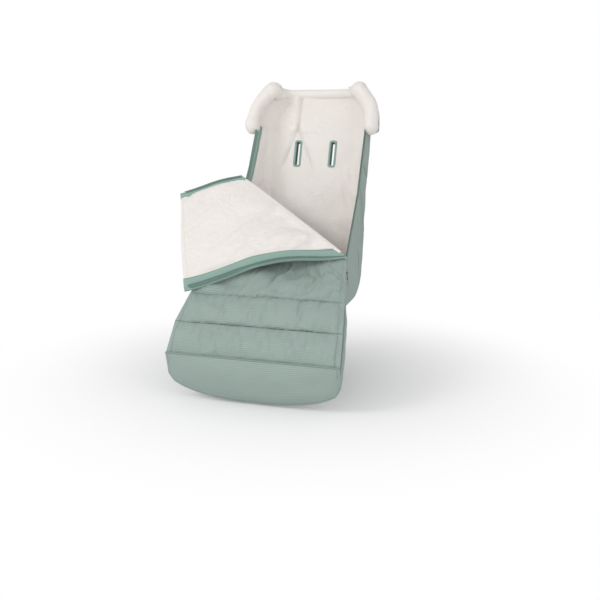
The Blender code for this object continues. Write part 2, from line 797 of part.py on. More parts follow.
def build_toe():
    """Toe panel: its seam edge is thin and its middle swells forward."""
    _, up, _, _ = wing(0.0)
    forward = Vector((0.0, -up.y, up.x))
    fleece = COVER_EDGE_FLEECE
    wadding = COVER_EDGE_WADDING
    layers = (
        ("toe_lining", lambda s: CLEARANCE, lambda s: CLEARANCE + fleece, "lining_fleece"),
        ("toe_wadding", lambda s: 2 * CLEARANCE + fleece, lambda s: 2 * CLEARANCE + fleece + wadding + s, "wadding"),
        (
            "toe_shell",
            lambda s: 3 * CLEARANCE + fleece + wadding + s,
            lambda s: 3 * CLEARANCE + fleece + wadding + s + SHELL,
            "shell_fabric",
        ),
    )
    for name, back, front, material in layers:
        rows = [[], []]
        for v in TOE_ROW_shares:
            for kept, face in zip(rows, (front, back)):
                kept.append([toe_point(u, v) + forward * face(toe_swell(u, v)) for u in TOE_COLUMN_shares])
        add_sheet_solid(name, rows[0], rows[1], material)


def zip_ring(station, side, towards_base, anchor):
    """Section of half a zip: a bead beside the zip line and a tape, straight past the slider, then on to anchor."""
    _, across, out = zip_axes(station)
    centre = zip_centre(station)
    sign = -1.0 if towards_base else 1.0
    start = centre + across * (sign * BEAD_GAP / 2)
    end = start + across * (sign * BEAD_WIDTH)
    room = (anchor - end).dot(across) * sign * ROOT_share
    root = end + across * (sign * min(SLIDER_WALL + SLIDER_CLEARANCE, room))
    bead, tape = BEAD_THICKNESS / 2, TAPE_THICKNESS / 2
    ring = [
        start - out * bead, start + out * bead, end + out * bead, end + out * tape, root + out * tape,
        anchor + out * tape, anchor - out * tape, root - out * tape, end - out * tape, end - out * bead,
    ]
    return [mirrored(point, side) for point in ring]


def base_anchor(station):
    """End of the base tape, just clear of the wing's sewn top edge."""
    middle = (SHELL + lining_face(3.0)) / 2
    edge = base_inset(station, 3.0, middle)
    _, up, _, _ = wing(station)
    return edge + Vector((0.0, up.x, up.y)) * CLEARANCE


def on_base_rows(anchor, station):
    """An anchor point straight between the base's own rows, so that it follows the faceted edge."""
    low = max(s for s in BASE_STATIONS[:-1] if s <= station)
    high = BASE_STATIONS[BASE_STATIONS.index(low) + 1]
    return mix(anchor(low), anchor(high), (station - low) / (high - low))


def under_edge(offset_point, face, clearance, rows, columns, side, v):
    """A point just under a cover's edge, for the end of its tape, straight between the cover's own corners."""
    low = max([row for row in rows if row <= v] or rows[:1])
    high = min([row for row in rows if row > low] or rows[-1:])
    ends = []
    for row in (low, high):
        outermost = columns(row)[-2:][::-1] if side > 0 else columns(row)[:2]
        edge, next_in = [
            offset_point(u, row, -face(u, row) - clearance - TAPE_THICKNESS / 2) for u in outermost
        ]
        ends.append(edge + (next_in - edge).normalized() * TAPE_INSET)
    return mix(ends[0], ends[1], (v - low) / (high - low) if high > low else 0.0)


def zip_stations(low, high):
    """Stations of a zip: close together round the corners of its line, and one halfway along each stretch."""
    near = [corner + d for corner in range(TOP_STATION) for d in (-SOFT_STEP, 0.0, SOFT_STEP, 0.5)]
    return sorted([low, high, *[s for s in near if low + SOFT_STEP / 2 < s < high - SOFT_STEP / 2]])


def lower_share(station, last):
    """Row of the lower cover at a station: the reverse of lower_station."""
    if station <= 1.0:
        return station * SEAM_B_share
    if station <= 2.0:
        return mix(SEAM_B_share, SEAM_A_share, station - 1.0)
    return mix(SEAM_A_share, 1.0, (station - 2.0) / (last - 2.0))


def build_zips(flap_joint):
    start = STOP_LENGTH / (zip_knot(1) - zip_knot(0)).length * 2
    for side, word, last in ((1, "right", RIGHT_FOLD_STATION), (-1, "left", LEFT_FOLD_STATION)):
        rings = [
            zip_ring(s, side, True, on_base_rows(base_anchor, s)) for s in zip_stations(start, TOP_STATION)
        ]
        add_loft("base_zip_" + word, rings, "zip_tape")

        rings = []
        for s in zip_stations(start, last - SOFT_STEP / 2):
            anchor = under_edge(
                cover_offset, cover_inner_face, COVER_TAPE_CLEARANCE, lower_rows(), lambda _: COLUMN_shares, side,
                lower_share(s, last),
            )
            rings.append(zip_ring(s, side, False, mirrored(anchor, side)))
        add_loft("cover_zip_" + word, rings, "zip_tape")

        rings = []
        for s in zip_stations(last + FLAP_ZIP_START, TOP_STATION):
            v = (s - last) / (FLAP_HEM_STATION - last)
            anchor = under_edge(flap_offset, band_face, FLAP_TAPE_CLEARANCES[word], flap_rows(), flap_columns, side, v)
            rings.append(zip_ring(s, side, False, mirrored(anchor, side)))
        add_loft("flap_zip_" + word, rings, "zip_tape", flap_joint)


def zip_frame(station, side):
    """Frame at a zip: X runs out of the bag, Y along the zip towards the foot, Z square to both."""
    tangent, _, out = zip_axes(station)
    x_axis = mirrored(out, side)
    y_axis = mirrored(-tangent, side)
    return axes_matrix(mirrored(zip_centre(station), side), x_axis, y_axis, x_axis.cross(y_axis))


def slider_face():
    """Distance from the beads' middle to the slider's outer face."""
    return BEAD_THICKNESS / 2 + SLIDER_CLEARANCE + SLIDER_WALL


def post_height():
    return PULLER_STAND + PULLER_THICKNESS / 2 + EYE_CLEARANCE + POST_HEAD_HEIGHT


def build_slider(word, side, station):
    """A slider round both beads, with slots for the tapes, a neck between the beads and a post for the puller."""
    frame = zip_frame(station, side)
    joint = (add_empty("slider_" + word, frame), frame)
    inner = BEAD_GAP / 2 + BEAD_WIDTH + SLIDER_CLEARANCE
    outer = inner + SLIDER_WALL
    room = BEAD_THICKNESS / 2 + SLIDER_CLEARANCE
    face = slider_face()
    slot = TAPE_THICKNESS / 2 + SLIDER_CLEARANCE
    quarter = [(NECK_HALF, room), (inner, room), (inner, slot), (outer, slot), (outer, face)]
    upper = quarter + [(-z, x) for z, x in reversed(quarter)]
    lower = [(-z, -x) for z, x in quarter] + [(z, -x) for z, x in reversed(quarter)]
    outline = upper + lower
    rings = []
    for y in (-SLIDER_LENGTH / 2, SLIDER_LENGTH / 2):
        rings.append([frame @ Vector((x, y, z)) for z, x in outline])
    body = add_loft("slider_body_" + word, rings, "black_metal", joint)
    along_out = frame @ Matrix.Rotation(math.radians(90.0), 4, "Y")
    base = face - POST_SINK
    neck_end = face + post_height() - POST_HEAD_HEIGHT
    end = face + post_height()
    profile = ((POST_RADIUS, base), (POST_RADIUS, neck_end), (POST_HEAD_RADIUS, neck_end), (POST_HEAD_RADIUS, end))
    post = add_turned("slider_post_" + word, profile, along_out, "black_metal", joint)
    boolean(body, post, "UNION")
    return joint


def build_puller(word, side, station, slider_joint):
    """Puller plate that swings on the slider's post, with a cord loop through the hole in its tip."""
    frame = slider_joint[1]
    out = frame.to_3x3() @ Vector((1.0, 0.0, 0.0))
    down = Vector((0.0, 0.0, -1.0))
    down = (down - out * down.dot(out)).normalized()
    middle = frame @ Vector((slider_face() + PULLER_STAND, 0.0, 0.0))
    place = axes_matrix(middle, down, out.cross(down), out)
    joint = (add_empty("puller_" + word, place, slider_joint), place)
    eye = PULLER_WIDTH / 2
    outline = []
    for i in range(9):
        angle = math.pi / 2 + math.pi * i / 8
        outline.append((eye * math.cos(angle), eye * math.sin(angle)))
    tip = PULLER_TIP_WIDTH / 2
    centre = PULLER_LENGTH - tip
    for i in range(7):
        angle = -math.pi / 2 + math.pi * i / 6
        outline.append((centre + tip * math.cos(angle), tip * math.sin(angle)))
    rings = []
    for z in (-PULLER_THICKNESS / 2, PULLER_THICKNESS / 2):
        rings.append([place @ Vector((x, y, z)) for x, y in outline])
    plate = add_loft("puller_plate_" + word, rings, "black_metal", joint)
    holes = (("eye", POST_RADIUS + EYE_CLEARANCE, 0.0), ("tip", TIP_HOLE_RADIUS, PULLER_LENGTH - TIP_HOLE_SETBACK))
    for hole, radius, x in holes:
        profile = ((radius, -PULLER_THICKNESS), (radius, PULLER_THICKNESS))
        where = place @ Matrix.Translation((x, 0.0, 0.0))
        cutter = add_turned("puller_" + hole + "_cutter_" + word, profile, where, "black_metal", joint)
        boolean(plate, cutter, "DIFFERENCE")
    build_loop(word, place @ Matrix.Translation((PULLER_LENGTH - TIP_HOLE_SETBACK, 0.0, 0.0)), joint)


def build_loop(word, place, joint):
    """Closed cord loop in the plane square to the plate: up one side, through the hole and down the other."""
    straight = LOOP_LENGTH - 2 * LOOP_HALF_WIDTH
    path = []
    for i in range(7):
        angle = math.pi / 2 + math.pi * i / 6
        path.append((LOOP_HALF_WIDTH * math.cos(angle), LOOP_HALF_WIDTH * math.sin(angle)))
    for i in range(7):
        angle = -math.pi / 2 + math.pi * i / 6
        path.append((straight + LOOP_HALF_WIDTH * math.cos(angle), LOOP_HALF_WIDTH * math.sin(angle)))
    shift = LOOP_HALF_WIDTH
    points, faces, sides = [], [], 6
    for index, (x, z) in enumerate(path):
        before, after = path[index - 1], path[(index + 1) % len(path)]
        along = Vector((after[0] - before[0], 0.0, after[1] - before[1])).normalized()
        normal = along.cross(Vector((0.0, 1.0, 0.0)))
        for k in range(sides):
            turn = 2.0 * math.pi * k / sides
            offset = normal * (LOOP_RADIUS * math.cos(turn)) + Vector((0.0, LOOP_RADIUS * math.sin(turn), 0.0))
            points.append(place @ (Vector((x + shift, 0.0, z)) + offset))
    for index in range(len(path)):
        start, following = index * sides, (index + 1) % len(path) * sides
        for k in range(sides):
            j = (k + 1) % sides
            faces.append((start + k, start + j, following + j, following + k))
    add_solid("puller_loop_" + word, points, faces, "grey_cord", joint)


def build_zip_stops():
    step = (zip_knot(1) - zip_knot(0)).length
    for word, side, _ in SLIDER_STATIONS:
        frame = zip_frame(STOP_LENGTH * 1.1 / step, side)
        half = BEAD_GAP / 2 + BEAD_WIDTH
        low = (-STOP_HALF_HEIGHT, -STOP_LENGTH / 2, -half)
        high = (STOP_HALF_HEIGHT, STOP_LENGTH / 2, half)
        add_box("zip_stop_" + word, low, high, frame, "black_metal")


def head_loft(t):
    """Extra wadding towards the side walls of the head end."""
    reach = min(max(abs(t) - 1.0, 0.0), 1.0)
    return LOBE_LOFT * reach * reach * (3.0 - 2.0 * reach)


def build_head():
    def wadding_end(share, t):
        padding = (WADDING + head_loft(t)) * mix(1.0, HEAD_TOP_PADDING_share, share**2)
        return SHELL + CLEARANCE + padding

    def lining_end(share, t):
        return wadding_end(share, t) + CLEARANCE + FLEECE

    layers = (
        ("head_shell", lambda share, t: 0.0, lambda share, t: SHELL, "shell_fabric"),
        ("head_wadding", lambda share, t: SHELL + CLEARANCE, wadding_end, "wadding"),
        ("head_lining", lambda share, t: wadding_end(share, t) + CLEARANCE, lining_end, "lining_fleece"),
    )
    for name, outer, inner, material in layers:
        outer_rows = [[head_inset(share, t, outer(share, t)) for t in SECTION] for share in HEAD_ROW_shares]
        inner_rows = [[head_inset(share, t, inner(share, t)) for t in SECTION] for share in HEAD_ROW_shares]
        add_sheet_solid(name, outer_rows, inner_rows, material)


def pocket_stand(share, reach_share):
    return POCKET_SEAM_STAND + POCKET_GAP * (1.0 - share**3) * (1.0 - abs(reach_share) ** 6)


def build_pocket():
    """Panel behind the head end, sewn at its top and sides and open below, with an elastic along its mouth."""
    places = [c * POCKET_REACH for c in POCKET_COLUMN_shares]
    outer_rows, inner_rows = [], []
    for share in POCKET_ROW_shares:
        stands = [pocket_stand(share, c) for c in POCKET_COLUMN_shares]
        inner_rows.append([head_inset(share, t, -s) for t, s in zip(places, stands)])
        outer_rows.append([head_inset(share, t, -s - POCKET_THICKNESS) for t, s in zip(places, stands)])
    add_sheet_solid("pocket_rear", outer_rows, inner_rows, "shell_fabric")
    mouth = POCKET_ROW_shares[0]
    top = mouth - CLEARANCE / HEAD_LENGTH
    outer_rows, inner_rows = [], []
    for share in (top - ELASTIC_HEIGHT / HEAD_LENGTH, top):
        stands = [pocket_stand(mouth, c) for c in POCKET_COLUMN_shares]
        inner_rows.append([head_inset(share, t, -s) for t, s in zip(places, stands)])
        outer_rows.append([head_inset(share, t, -s - ELASTIC_THICKNESS) for t, s in zip(places, stands)])
    add_sheet_solid("pocket_elastic", outer_rows, inner_rows, "strap_webbing")


def slot_places():
    """Name, frame (Y along the slot, Z into the bag), length and parts of each harness slot."""
    places = []
    x_axis = Vector((1.0, 0.0, 0.0))
    up, inward = Vector((0.0, *BACK_UP)), Vector((0.0, *BACK_OUT))
    for side, word in ((-1, "left"), (1, "right")):
        origin = Vector((side * SHOULDER_SLOT_SPACING / 2, *back_point(SHOULDER_SLOT_HEIGHT, 0.0)))
        places.append(("shoulder_" + word, axes_matrix(origin, x_axis, up, inward), SHOULDER_SLOT, "back"))
        origin = Vector((side * WAIST_SLOT_SPACING / 2, CREASE.x - WAIST_SLOT_SETBACK, SEAT_LEVEL))
        places.append(("waist_" + word, Matrix.Translation(origin), WAIST_SLOT, "seat"))
    origin = Vector((0.0, KNEE.x + CROTCH_SLOT_SETBACK, SEAT_LEVEL))
    places.append(("crotch", Matrix.Translation(origin), CROTCH_SLOT, "seat"))
    return places


def build_slots(parts):
    depth = lining_face(0.0)
    for word, place, length, carrier in slot_places():
        half = (SLOT_WIDTH / 2, length / 2)
        grow = BINDING_THICKNESS + CLEARANCE
        low = (-half[0] - grow, -half[1] - grow, -CUT_OVERRUN)
        high = (half[0] + grow, half[1] + grow, depth + CUT_OVERRUN)
        cutter = add_box("slot_cutter_" + word, low, high, place, "strap_webbing")
        for layer in ("shell", "wadding", "lining"):
            boolean(parts[carrier + "_" + layer], cutter, "DIFFERENCE")
        add_frame(
            "slot_binding_" + word, half, BINDING_THICKNESS, -BINDING_PROUD, depth + BINDING_PROUD, place, "strap_webbing"
        )


def build_grip_panel():
    low = (-GRIP_WIDTH / 2, -GRIP_DEPTH / 2, 0.0)
    high = (GRIP_WIDTH / 2, GRIP_DEPTH / 2, GRIP_THICKNESS)
    add_box("grip_panel", low, high, Matrix.Identity(4), "grip_mesh")


def strap_tab(name, side, stand, end, place, material, joint=None):
    """A strap tab that bows out from its seam and runs flat to its end; x and stand are in the frame of place."""
    start = STRAP_ANCHOR - STRAP_ANCHOR_LENGTH / 2 - STRAP_THICKNESS / 2
    bow = 0.6 * start
    middle = CLEARANCE + STRAP_THICKNESS / 2
    path = [(start - bow * along, mix(middle, stand, rise)) for along, rise in STRAP_BOW_shares]
    path.append((-end, stand))
    rings = []
    for index, (x, z) in enumerate(path):
        low = path[max(index - 1, 0)]
        high = path[min(index + 1, len(path) - 1)]
        along = Vector((high[0] - low[0], high[1] - low[1])).normalized()
        half = Vector((-along.y, along.x)) * (STRAP_THICKNESS / 2)
        corners = []
        for y, turn in ((-STRAP_WIDTH / 2, 1), (STRAP_WIDTH / 2, 1), (STRAP_WIDTH / 2, -1), (-STRAP_WIDTH / 2, -1)):
            corners.append(place @ Vector((side * (x + turn * half.x), y, z + turn * half.y)))
        rings.append(corners)
    return add_loft(name, rings, material, joint)


def build_strap():
    """Two elastic tabs across the back, pressed together by a stud; the left one swings away."""
    origin = Vector((0.0, *back_point(STRAP_HEIGHT, 0.0)))
    place = axes_matrix(
        origin, Vector((-1.0, 0.0, 0.0)), Vector((0.0, *BACK_UP)), Vector((0.0, *(-BACK_OUT)))
    )
    root = STRAP_ANCHOR - STRAP_ANCHOR_LENGTH / 2
    hinge = place @ Matrix.Translation((root - CLEARANCE, 0.0, CLEARANCE + STRAP_THICKNESS))
    joint = (add_empty("strap_swing", hinge), hinge)
    for word, side in (("left", 1), ("right", -1)):
        near, far = side * root, side * (root + STRAP_ANCHOR_LENGTH)
        low = (min(near, far), -STRAP_WIDTH / 2, CLEARANCE)
        high = (max(near, far), STRAP_WIDTH / 2, CLEARANCE + STRAP_THICKNESS)
        add_box("strap_anchor_" + word, low, high, place, "strap_webbing")
    gap = 2 * STUD_DISC + 3 * CLEARANCE
    lower_stand = STRAP_STAND - STRAP_THICKNESS - gap
    strap_tab("strap_left", 1, STRAP_STAND, STRAP_LAP / 2, place, "strap_webbing", joint)
    strap_tab("strap_right", -1, lower_stand, STRAP_LAP / 2, place, "strap_webbing")
    left_face = STRAP_STAND - STRAP_THICKNESS / 2
    right_face = lower_stand + STRAP_THICKNESS / 2
    discs = (
        ("stud_cap", STUD_RADIUS, STRAP_STAND + STRAP_THICKNESS / 2 + CLEARANCE, joint),
        ("stud_socket", STUD_RADIUS, left_face - CLEARANCE - STUD_DISC, joint),
        ("stud_post", STUD_POST_RADIUS, right_face + CLEARANCE, None),
    )
    for name, radius, start, carrier in discs:
        profile = ((radius, start), (radius, start + STUD_DISC))
        add_turned(name, profile, place, "black_metal", carrier)


def main():
    clear_scene()
    parts = build_base()
    build_facings()
    build_head()
    build_pocket()
    build_slots(parts)
    build_grip_panel()
    build_strap()
    build_toe()
    build_lower_cover()
    flap_joint = fold_joint()
    build_flap(flap_joint)
    build_zips(flap_joint)
    build_zip_stops()
    for word, side, station in SLIDER_STATIONS:
        slider_joint = build_slider(word, side, station)
        build_puller(word, side, station, slider_joint)


main()
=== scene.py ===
"""Stroller footmuff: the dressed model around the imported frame.

Metres, +Z up. The foot end faces -Y, and +X is the right-hand side as seen from the foot end.
A station is a place along the bag: 0 at the toe seam, 3 at the right fold end, 8 at the top of the wings.
"""

import json
import math

import bpy
import numpy as np
from mathutils import Matrix, Vector


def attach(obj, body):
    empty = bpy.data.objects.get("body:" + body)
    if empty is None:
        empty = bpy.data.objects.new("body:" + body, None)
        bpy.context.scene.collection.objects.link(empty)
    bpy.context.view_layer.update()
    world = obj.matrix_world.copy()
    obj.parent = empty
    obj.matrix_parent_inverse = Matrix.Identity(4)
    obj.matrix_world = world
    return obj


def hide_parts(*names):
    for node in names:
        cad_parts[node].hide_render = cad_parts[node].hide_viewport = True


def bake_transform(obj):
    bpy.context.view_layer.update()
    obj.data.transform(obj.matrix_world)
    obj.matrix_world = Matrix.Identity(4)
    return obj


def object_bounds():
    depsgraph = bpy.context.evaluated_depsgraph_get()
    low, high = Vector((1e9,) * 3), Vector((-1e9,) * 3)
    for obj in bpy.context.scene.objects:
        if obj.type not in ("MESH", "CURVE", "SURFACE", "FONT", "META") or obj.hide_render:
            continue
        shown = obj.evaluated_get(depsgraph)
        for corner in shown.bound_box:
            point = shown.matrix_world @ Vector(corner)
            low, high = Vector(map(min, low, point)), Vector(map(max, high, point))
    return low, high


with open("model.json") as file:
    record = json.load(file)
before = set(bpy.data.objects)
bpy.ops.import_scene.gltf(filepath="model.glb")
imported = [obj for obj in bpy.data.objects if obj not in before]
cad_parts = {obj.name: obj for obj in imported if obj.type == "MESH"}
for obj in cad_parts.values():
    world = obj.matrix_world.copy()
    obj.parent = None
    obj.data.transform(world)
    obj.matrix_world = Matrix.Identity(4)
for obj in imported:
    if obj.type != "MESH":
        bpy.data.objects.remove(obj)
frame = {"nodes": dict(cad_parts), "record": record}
CAD_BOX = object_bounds()

# The bag's sizes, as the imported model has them
LEG_LENGTH = 0.214
LEG_SLOPE_DEG = 53.5
SEAT_DEPTH = 0.244
BACK_LENGTH = 0.471
BACK_LEAN_DEG = 17.5
HEAD_LENGTH = 0.100
CORNER_SOFTENING = 0.055
PROBE_STEP = 0.01
FOOT_HALF = 0.208
KNEE_HALF = 0.190
LAP_HALF = 0.160
BACK_HALF = 0.150
HEAD_HALF = 0.175
FOOT_LIFT = 0.072
SHIN_LIFT = 0.076
KNEE_LIFT = 0.061
LAP_LIFT = 0.120
HIP_LIFT = 0.162
WAIST_LIFT = 0.294
BACK_WING = 0.108
TOP_WING = 0.086
SHELL = 0.0014
WADDING = 0.0075
FLEECE = 0.0075
CLEARANCE = 0.0003
EDGE_TAPER_share = 0.35
COVER_EDGE_WADDING = 0.0010
COVER_EDGE_FLEECE = 0.0014
CHANNEL_CROWN = 0.011
LAP_CROWN = 0.010
LAP_CROWN_REACH_share = 0.40
LAP_SAG = 0.013
COVER_EDGE_DIP = 0.004
COVER_EDGE_LIFT = 0.003
EDGE_LIFT_STATIONS = (2.5, 5.0)
DIP_START_share = 0.8
INNER_CROWN = 0.009
FLAP_CROWN = 0.004
FLAP_LOFT = 0.005
FLAP_CORNER_REACH = 0.0115
TOE_CROWN = 0.013
LOBE_LOFT = 0.0125
BASE_ZIP_REACH = 0.012
COVER_ZIP_REACH = 0.020
ZIP_INSET = 0.003
BEAD_WIDTH = 0.0022
BEAD_THICKNESS = 0.0024
BEAD_GAP = 0.0016
TAPE_THICKNESS = 0.0010
COVER_TAPE_CLEARANCE = 0.0013
FLAP_TAPE_CLEARANCES = {"right": 0.0008, "left": 0.0004}
TAPE_INSET = 0.0034
FLAP_ZIP_START = 0.26
FACING_WIDTH = 0.019
FACING_THICKNESS = 0.0009
FACING_CLEARANCE = 0.0009
BAND_WIDTH = 0.025
STOP_LENGTH = 0.005
FOLD_GAP = 0.0025
FLAP_OPEN_DEG = 163.5
SHOULDER_SLOT = 0.062
SHOULDER_SLOT_SPACING = 0.096
SHOULDER_SLOT_HEIGHT = 0.385
WAIST_SLOT = 0.042
WAIST_SLOT_SPACING = 0.170
WAIST_SLOT_SETBACK = 0.062
CROTCH_SLOT = 0.040
CROTCH_SLOT_SETBACK = 0.062
SLOT_WIDTH = 0.010
BINDING_THICKNESS = 0.0016
CUT_OVERRUN = 0.006
HEAD_DEPTH = 0.086
HEAD_TOP_DEPTH = 0.052
HEAD_TOP_HALF = 0.128
TOP_CURL = 0.026
POCKET_GAP = 0.034
POCKET_SEAM_STAND = 0.0005
POCKET_THICKNESS = 0.0014
ELASTIC_HEIGHT = 0.009
ELASTIC_THICKNESS = 0.0030
GRIP_THICKNESS = 0.0012
BASE_RUN_shares = (
    ("leg", 0.0), ("leg", 0.45), ("leg", 0.85),
    ("seat", 0.12), ("seat", 0.42), ("seat", 0.80),
    ("back", 0.10), ("back", 0.55), ("back", 0.943),
)
ZIP_PLACE_shares = (0.277, 0.649, 1.026, 0.284, 0.421, 0.641, 0.861, 0.684, 0.943)
WIDTH_shares = (0.0, 0.3, 1.0, 0.0, 0.2, 0.35, 0.5, 0.8, 1.0)
FLAT_shares = (0.08, 0.35, 0.55, 0.66, 0.70, 0.70, 0.70, 0.68, 0.66)
RISE_shares = (0.74, 0.72, 0.60, 0.34, 0.24, 0.19, 0.17, 0.48, 0.48)
HEAD_FLAT_share = 0.62
HEAD_RISE_share = 0.62
HEAD_TOP_PADDING_share = 0.6
CROWN_POWER = 0.7
SOFT_STEP = 0.06
SOFT_WEIGHTS = ((-1.0, 1.0), (-0.5, 2.0), (0.0, 3.0), (0.5, 2.0), (1.0, 1.0))
KNEE_STATION = 2.5
RIGHT_FOLD_STATION = 3
CREASE_STATION = 5.5
LEFT_FOLD_STATION = 6
TOP_STATION = 8
FLAP_HEM_STATION = 8.13
BASE_STATIONS = (
    0.0, 0.5, 1.0, 1.5, 2.0, 2.25, 2.5, 2.75, 3.0, 3.5, 4.0, 4.5, 5.0, 5.25, 5.5, 5.75, 6.0,
    6.5, 7.0, 7.5, 8.0,
)
SEAM_B_share = 0.25
SEAM_A_share = 0.47
CHANNEL_ROW_shares = (0.0, 0.14, 0.5, 0.86)
LAP_ROW_shares = (0.0, 0.1, 0.25, 0.5, 0.75, 0.9)
COLUMN_shares = (0.0, 0.04, 0.15, 0.32, 0.5, 0.68, 0.85, 0.96, 1.0)
INNER_COLUMN_shares = (0.0, 0.1, 0.3, 0.5, 0.7, 0.9, 1.0)
FLAP_ROW_shares = (0.0, 0.06, 0.182, 0.38, 0.461, 0.568, 0.777, 0.94, 1.0)
POCKET_ROW_shares = (0.14, 0.4, 0.65, 0.85, 0.97)
POCKET_REACH = 1.33
FLAP_CORNER_POWER = 0.4


def axes_matrix(origin, x_axis, y_axis, z_axis):
    matrix = Matrix((x_axis, y_axis, z_axis)).transposed().to_4x4()
    matrix.translation = origin
    return matrix


LEG_UP = Vector((math.cos(math.radians(LEG_SLOPE_DEG)), math.sin(math.radians(LEG_SLOPE_DEG))))
LEG_OUT = Vector((-LEG_UP.y, LEG_UP.x))
BACK_UP = Vector((math.sin(math.radians(BACK_LEAN_DEG)), math.cos(math.radians(BACK_LEAN_DEG))))
BACK_OUT = Vector((-BACK_UP.y, BACK_UP.x))
SEAT_LEVEL = GRIP_THICKNESS + CLEARANCE
KNEE = Vector((-SEAT_DEPTH / 2, SEAT_LEVEL))
CREASE = Vector((SEAT_DEPTH / 2, SEAT_LEVEL))
FOOT = KNEE - LEG_UP * LEG_LENGTH


def leg_point(share, lift):
    return FOOT + LEG_UP * (share * LEG_LENGTH) + LEG_OUT * lift


def seat_point(share, lift):
    return KNEE + Vector((share * SEAT_DEPTH, lift))


def back_point(along, lift):
    return CREASE + BACK_UP * along + BACK_OUT * lift


def softened(curve, at, reach):
    """A weighted mean round a place of a curve, which rounds its corners and keeps straight stretches."""
    total = sum(weight for _, weight in SOFT_WEIGHTS)
    points = [curve(at + offset * reach) * (weight / total) for offset, weight in SOFT_WEIGHTS]
    return sum(points[1:], points[0])


def base_run(station):
    part, share = BASE_RUN_shares[station]
    return {
        "leg": share * LEG_LENGTH,
        "seat": LEG_LENGTH + share * SEAT_DEPTH,
        "back": LEG_LENGTH + SEAT_DEPTH + share * BACK_LENGTH,
    }[part]


def sharp_base_line(run):
    if run < LEG_LENGTH:
        return FOOT + LEG_UP * run
    if run < LEG_LENGTH + SEAT_DEPTH:
        return KNEE + Vector((run - LEG_LENGTH, 0.0))
    return CREASE + BACK_UP * (run - LEG_LENGTH - SEAT_DEPTH)


def mix(low, high, share):
    return low + (high - low) * share


def zip_knot(station):
    """The zip line's corner at a whole station, on the right side."""
    place = ZIP_PLACE_shares[station]
    width = WIDTH_shares[station]
    if station < 3:
        lift = (FOOT_LIFT, SHIN_LIFT, KNEE_LIFT)[station]
        side, half = leg_point(place, lift), mix(FOOT_HALF, KNEE_HALF, width)
    elif station < 7:
        lift = (LAP_LIFT, HIP_LIFT, (HIP_LIFT + WAIST_LIFT) / 2, WAIST_LIFT)[station - 3]
        side, half = seat_point(place, lift), mix(LAP_HALF, BACK_HALF, width)
    else:
        lift = (BACK_WING, TOP_WING)[station - 7]
        side, half = back_point(place * BACK_LENGTH, lift), mix(LAP_HALF, BACK_HALF, width)
    return Vector((half, side.x, side.y))


def between(values, station):
    """Straight between whole stations, and on along the end stretches."""
    low = min(max(int(math.floor(station)), 0), TOP_STATION - 1)
    return mix(values(low), values(low + 1), station - low)


def zip_line(station):
    return softened(lambda at: between(zip_knot, at), station, SOFT_STEP)


def base_line(station):
    return softened(sharp_base_line, between(base_run, station), CORNER_SOFTENING)


def u_profile(t, half, flat, rise, height):
    """(across, up) of a flat floor, a quarter-ellipse corner and a straight side wall."""
    if t <= 1.0:
        return flat * t, 0.0
    if t <= 2.0:
        angle = (t - 1.0) * math.pi / 2
        return flat + (half - flat) * math.sin(angle), rise * (1.0 - math.cos(angle))
    return half, rise + (height - rise) * (t - 2.0)


def wing(station):
    """Base point, unit direction up the side wall, wall height and corner rise at a station."""
    foot = base_line(station)
    edge = zip_line(station)
    up = Vector((edge.y, edge.z)) - foot
    height = up.length - BASE_ZIP_REACH
    return foot, up.normalized(), height, height * between(lambda i: RISE_shares[i], station)


def base_point(station, t):
    """Outer face of the base; t below 0 is the left side."""
    foot, up, height, rise = wing(station)
    half = zip_line(station).x
    across, lift = u_profile(abs(t), half, half * between(lambda i: FLAT_shares[i], station), rise, height)
    return Vector((math.copysign(across, t), foot.x + up.x * lift, foot.y + up.y * lift))


def head_point(share, t):
    """Outer face of the head end; share 0 is its seam with the back."""
    along = BASE_RUN_shares[TOP_STATION][1] * BACK_LENGTH + CLEARANCE + share * HEAD_LENGTH
    foot = back_point(along, TOP_CURL * share**3)
    half = mix(HEAD_HALF, HEAD_TOP_HALF, share**3)
    depth = mix(HEAD_DEPTH, HEAD_TOP_DEPTH, share**2)
    across, lift = u_profile(abs(t), half, half * HEAD_FLAT_share, depth * HEAD_RISE_share, depth)
    return Vector((math.copysign(across, t), foot.x + BACK_OUT.x * lift, foot.y + BACK_OUT.y * lift))


def cover_edge(station, side, reach=COVER_ZIP_REACH):
    """Outer edge of the cover beside the zip."""
    up = wing(station)[1]
    point = zip_line(station) + Vector((0.0, up.x, up.y)) * reach
    return Vector((side * point.x, point.y, point.z))


def zip_axes(station):
    """Unit vectors on the right side: along the zip, across it away from the base, and out of the bag."""
    step = SOFT_STEP / 10
    tangent = (zip_line(station + step) - zip_line(station - step)).normalized()
    out = (Vector((1.0, 0.0, 0.0)) - tangent * tangent.x).normalized()
    return tangent, out.cross(tangent), out


def zip_centre(station):
    return zip_line(station) - zip_axes(station)[2] * ZIP_INSET


def mirrored(point, side):
    return Vector((side * point.x, point.y, point.z))


def lower_station(v, last):
    """Station of a row of the lower cover, so that the seams meet both zips at the same stations."""
    if v <= SEAM_B_share:
        return v / SEAM_B_share
    if v <= SEAM_A_share:
        return 1.0 + (v - SEAM_B_share) / (SEAM_A_share - SEAM_B_share)
    return 2.0 + (last - 2.0) * (v - SEAM_A_share) / (1.0 - SEAM_A_share)


def lap_share(v):
    """0 at seam A and below, 1 at the fold."""
    return max(v - SEAM_A_share, 0.0) / (1.0 - SEAM_A_share)


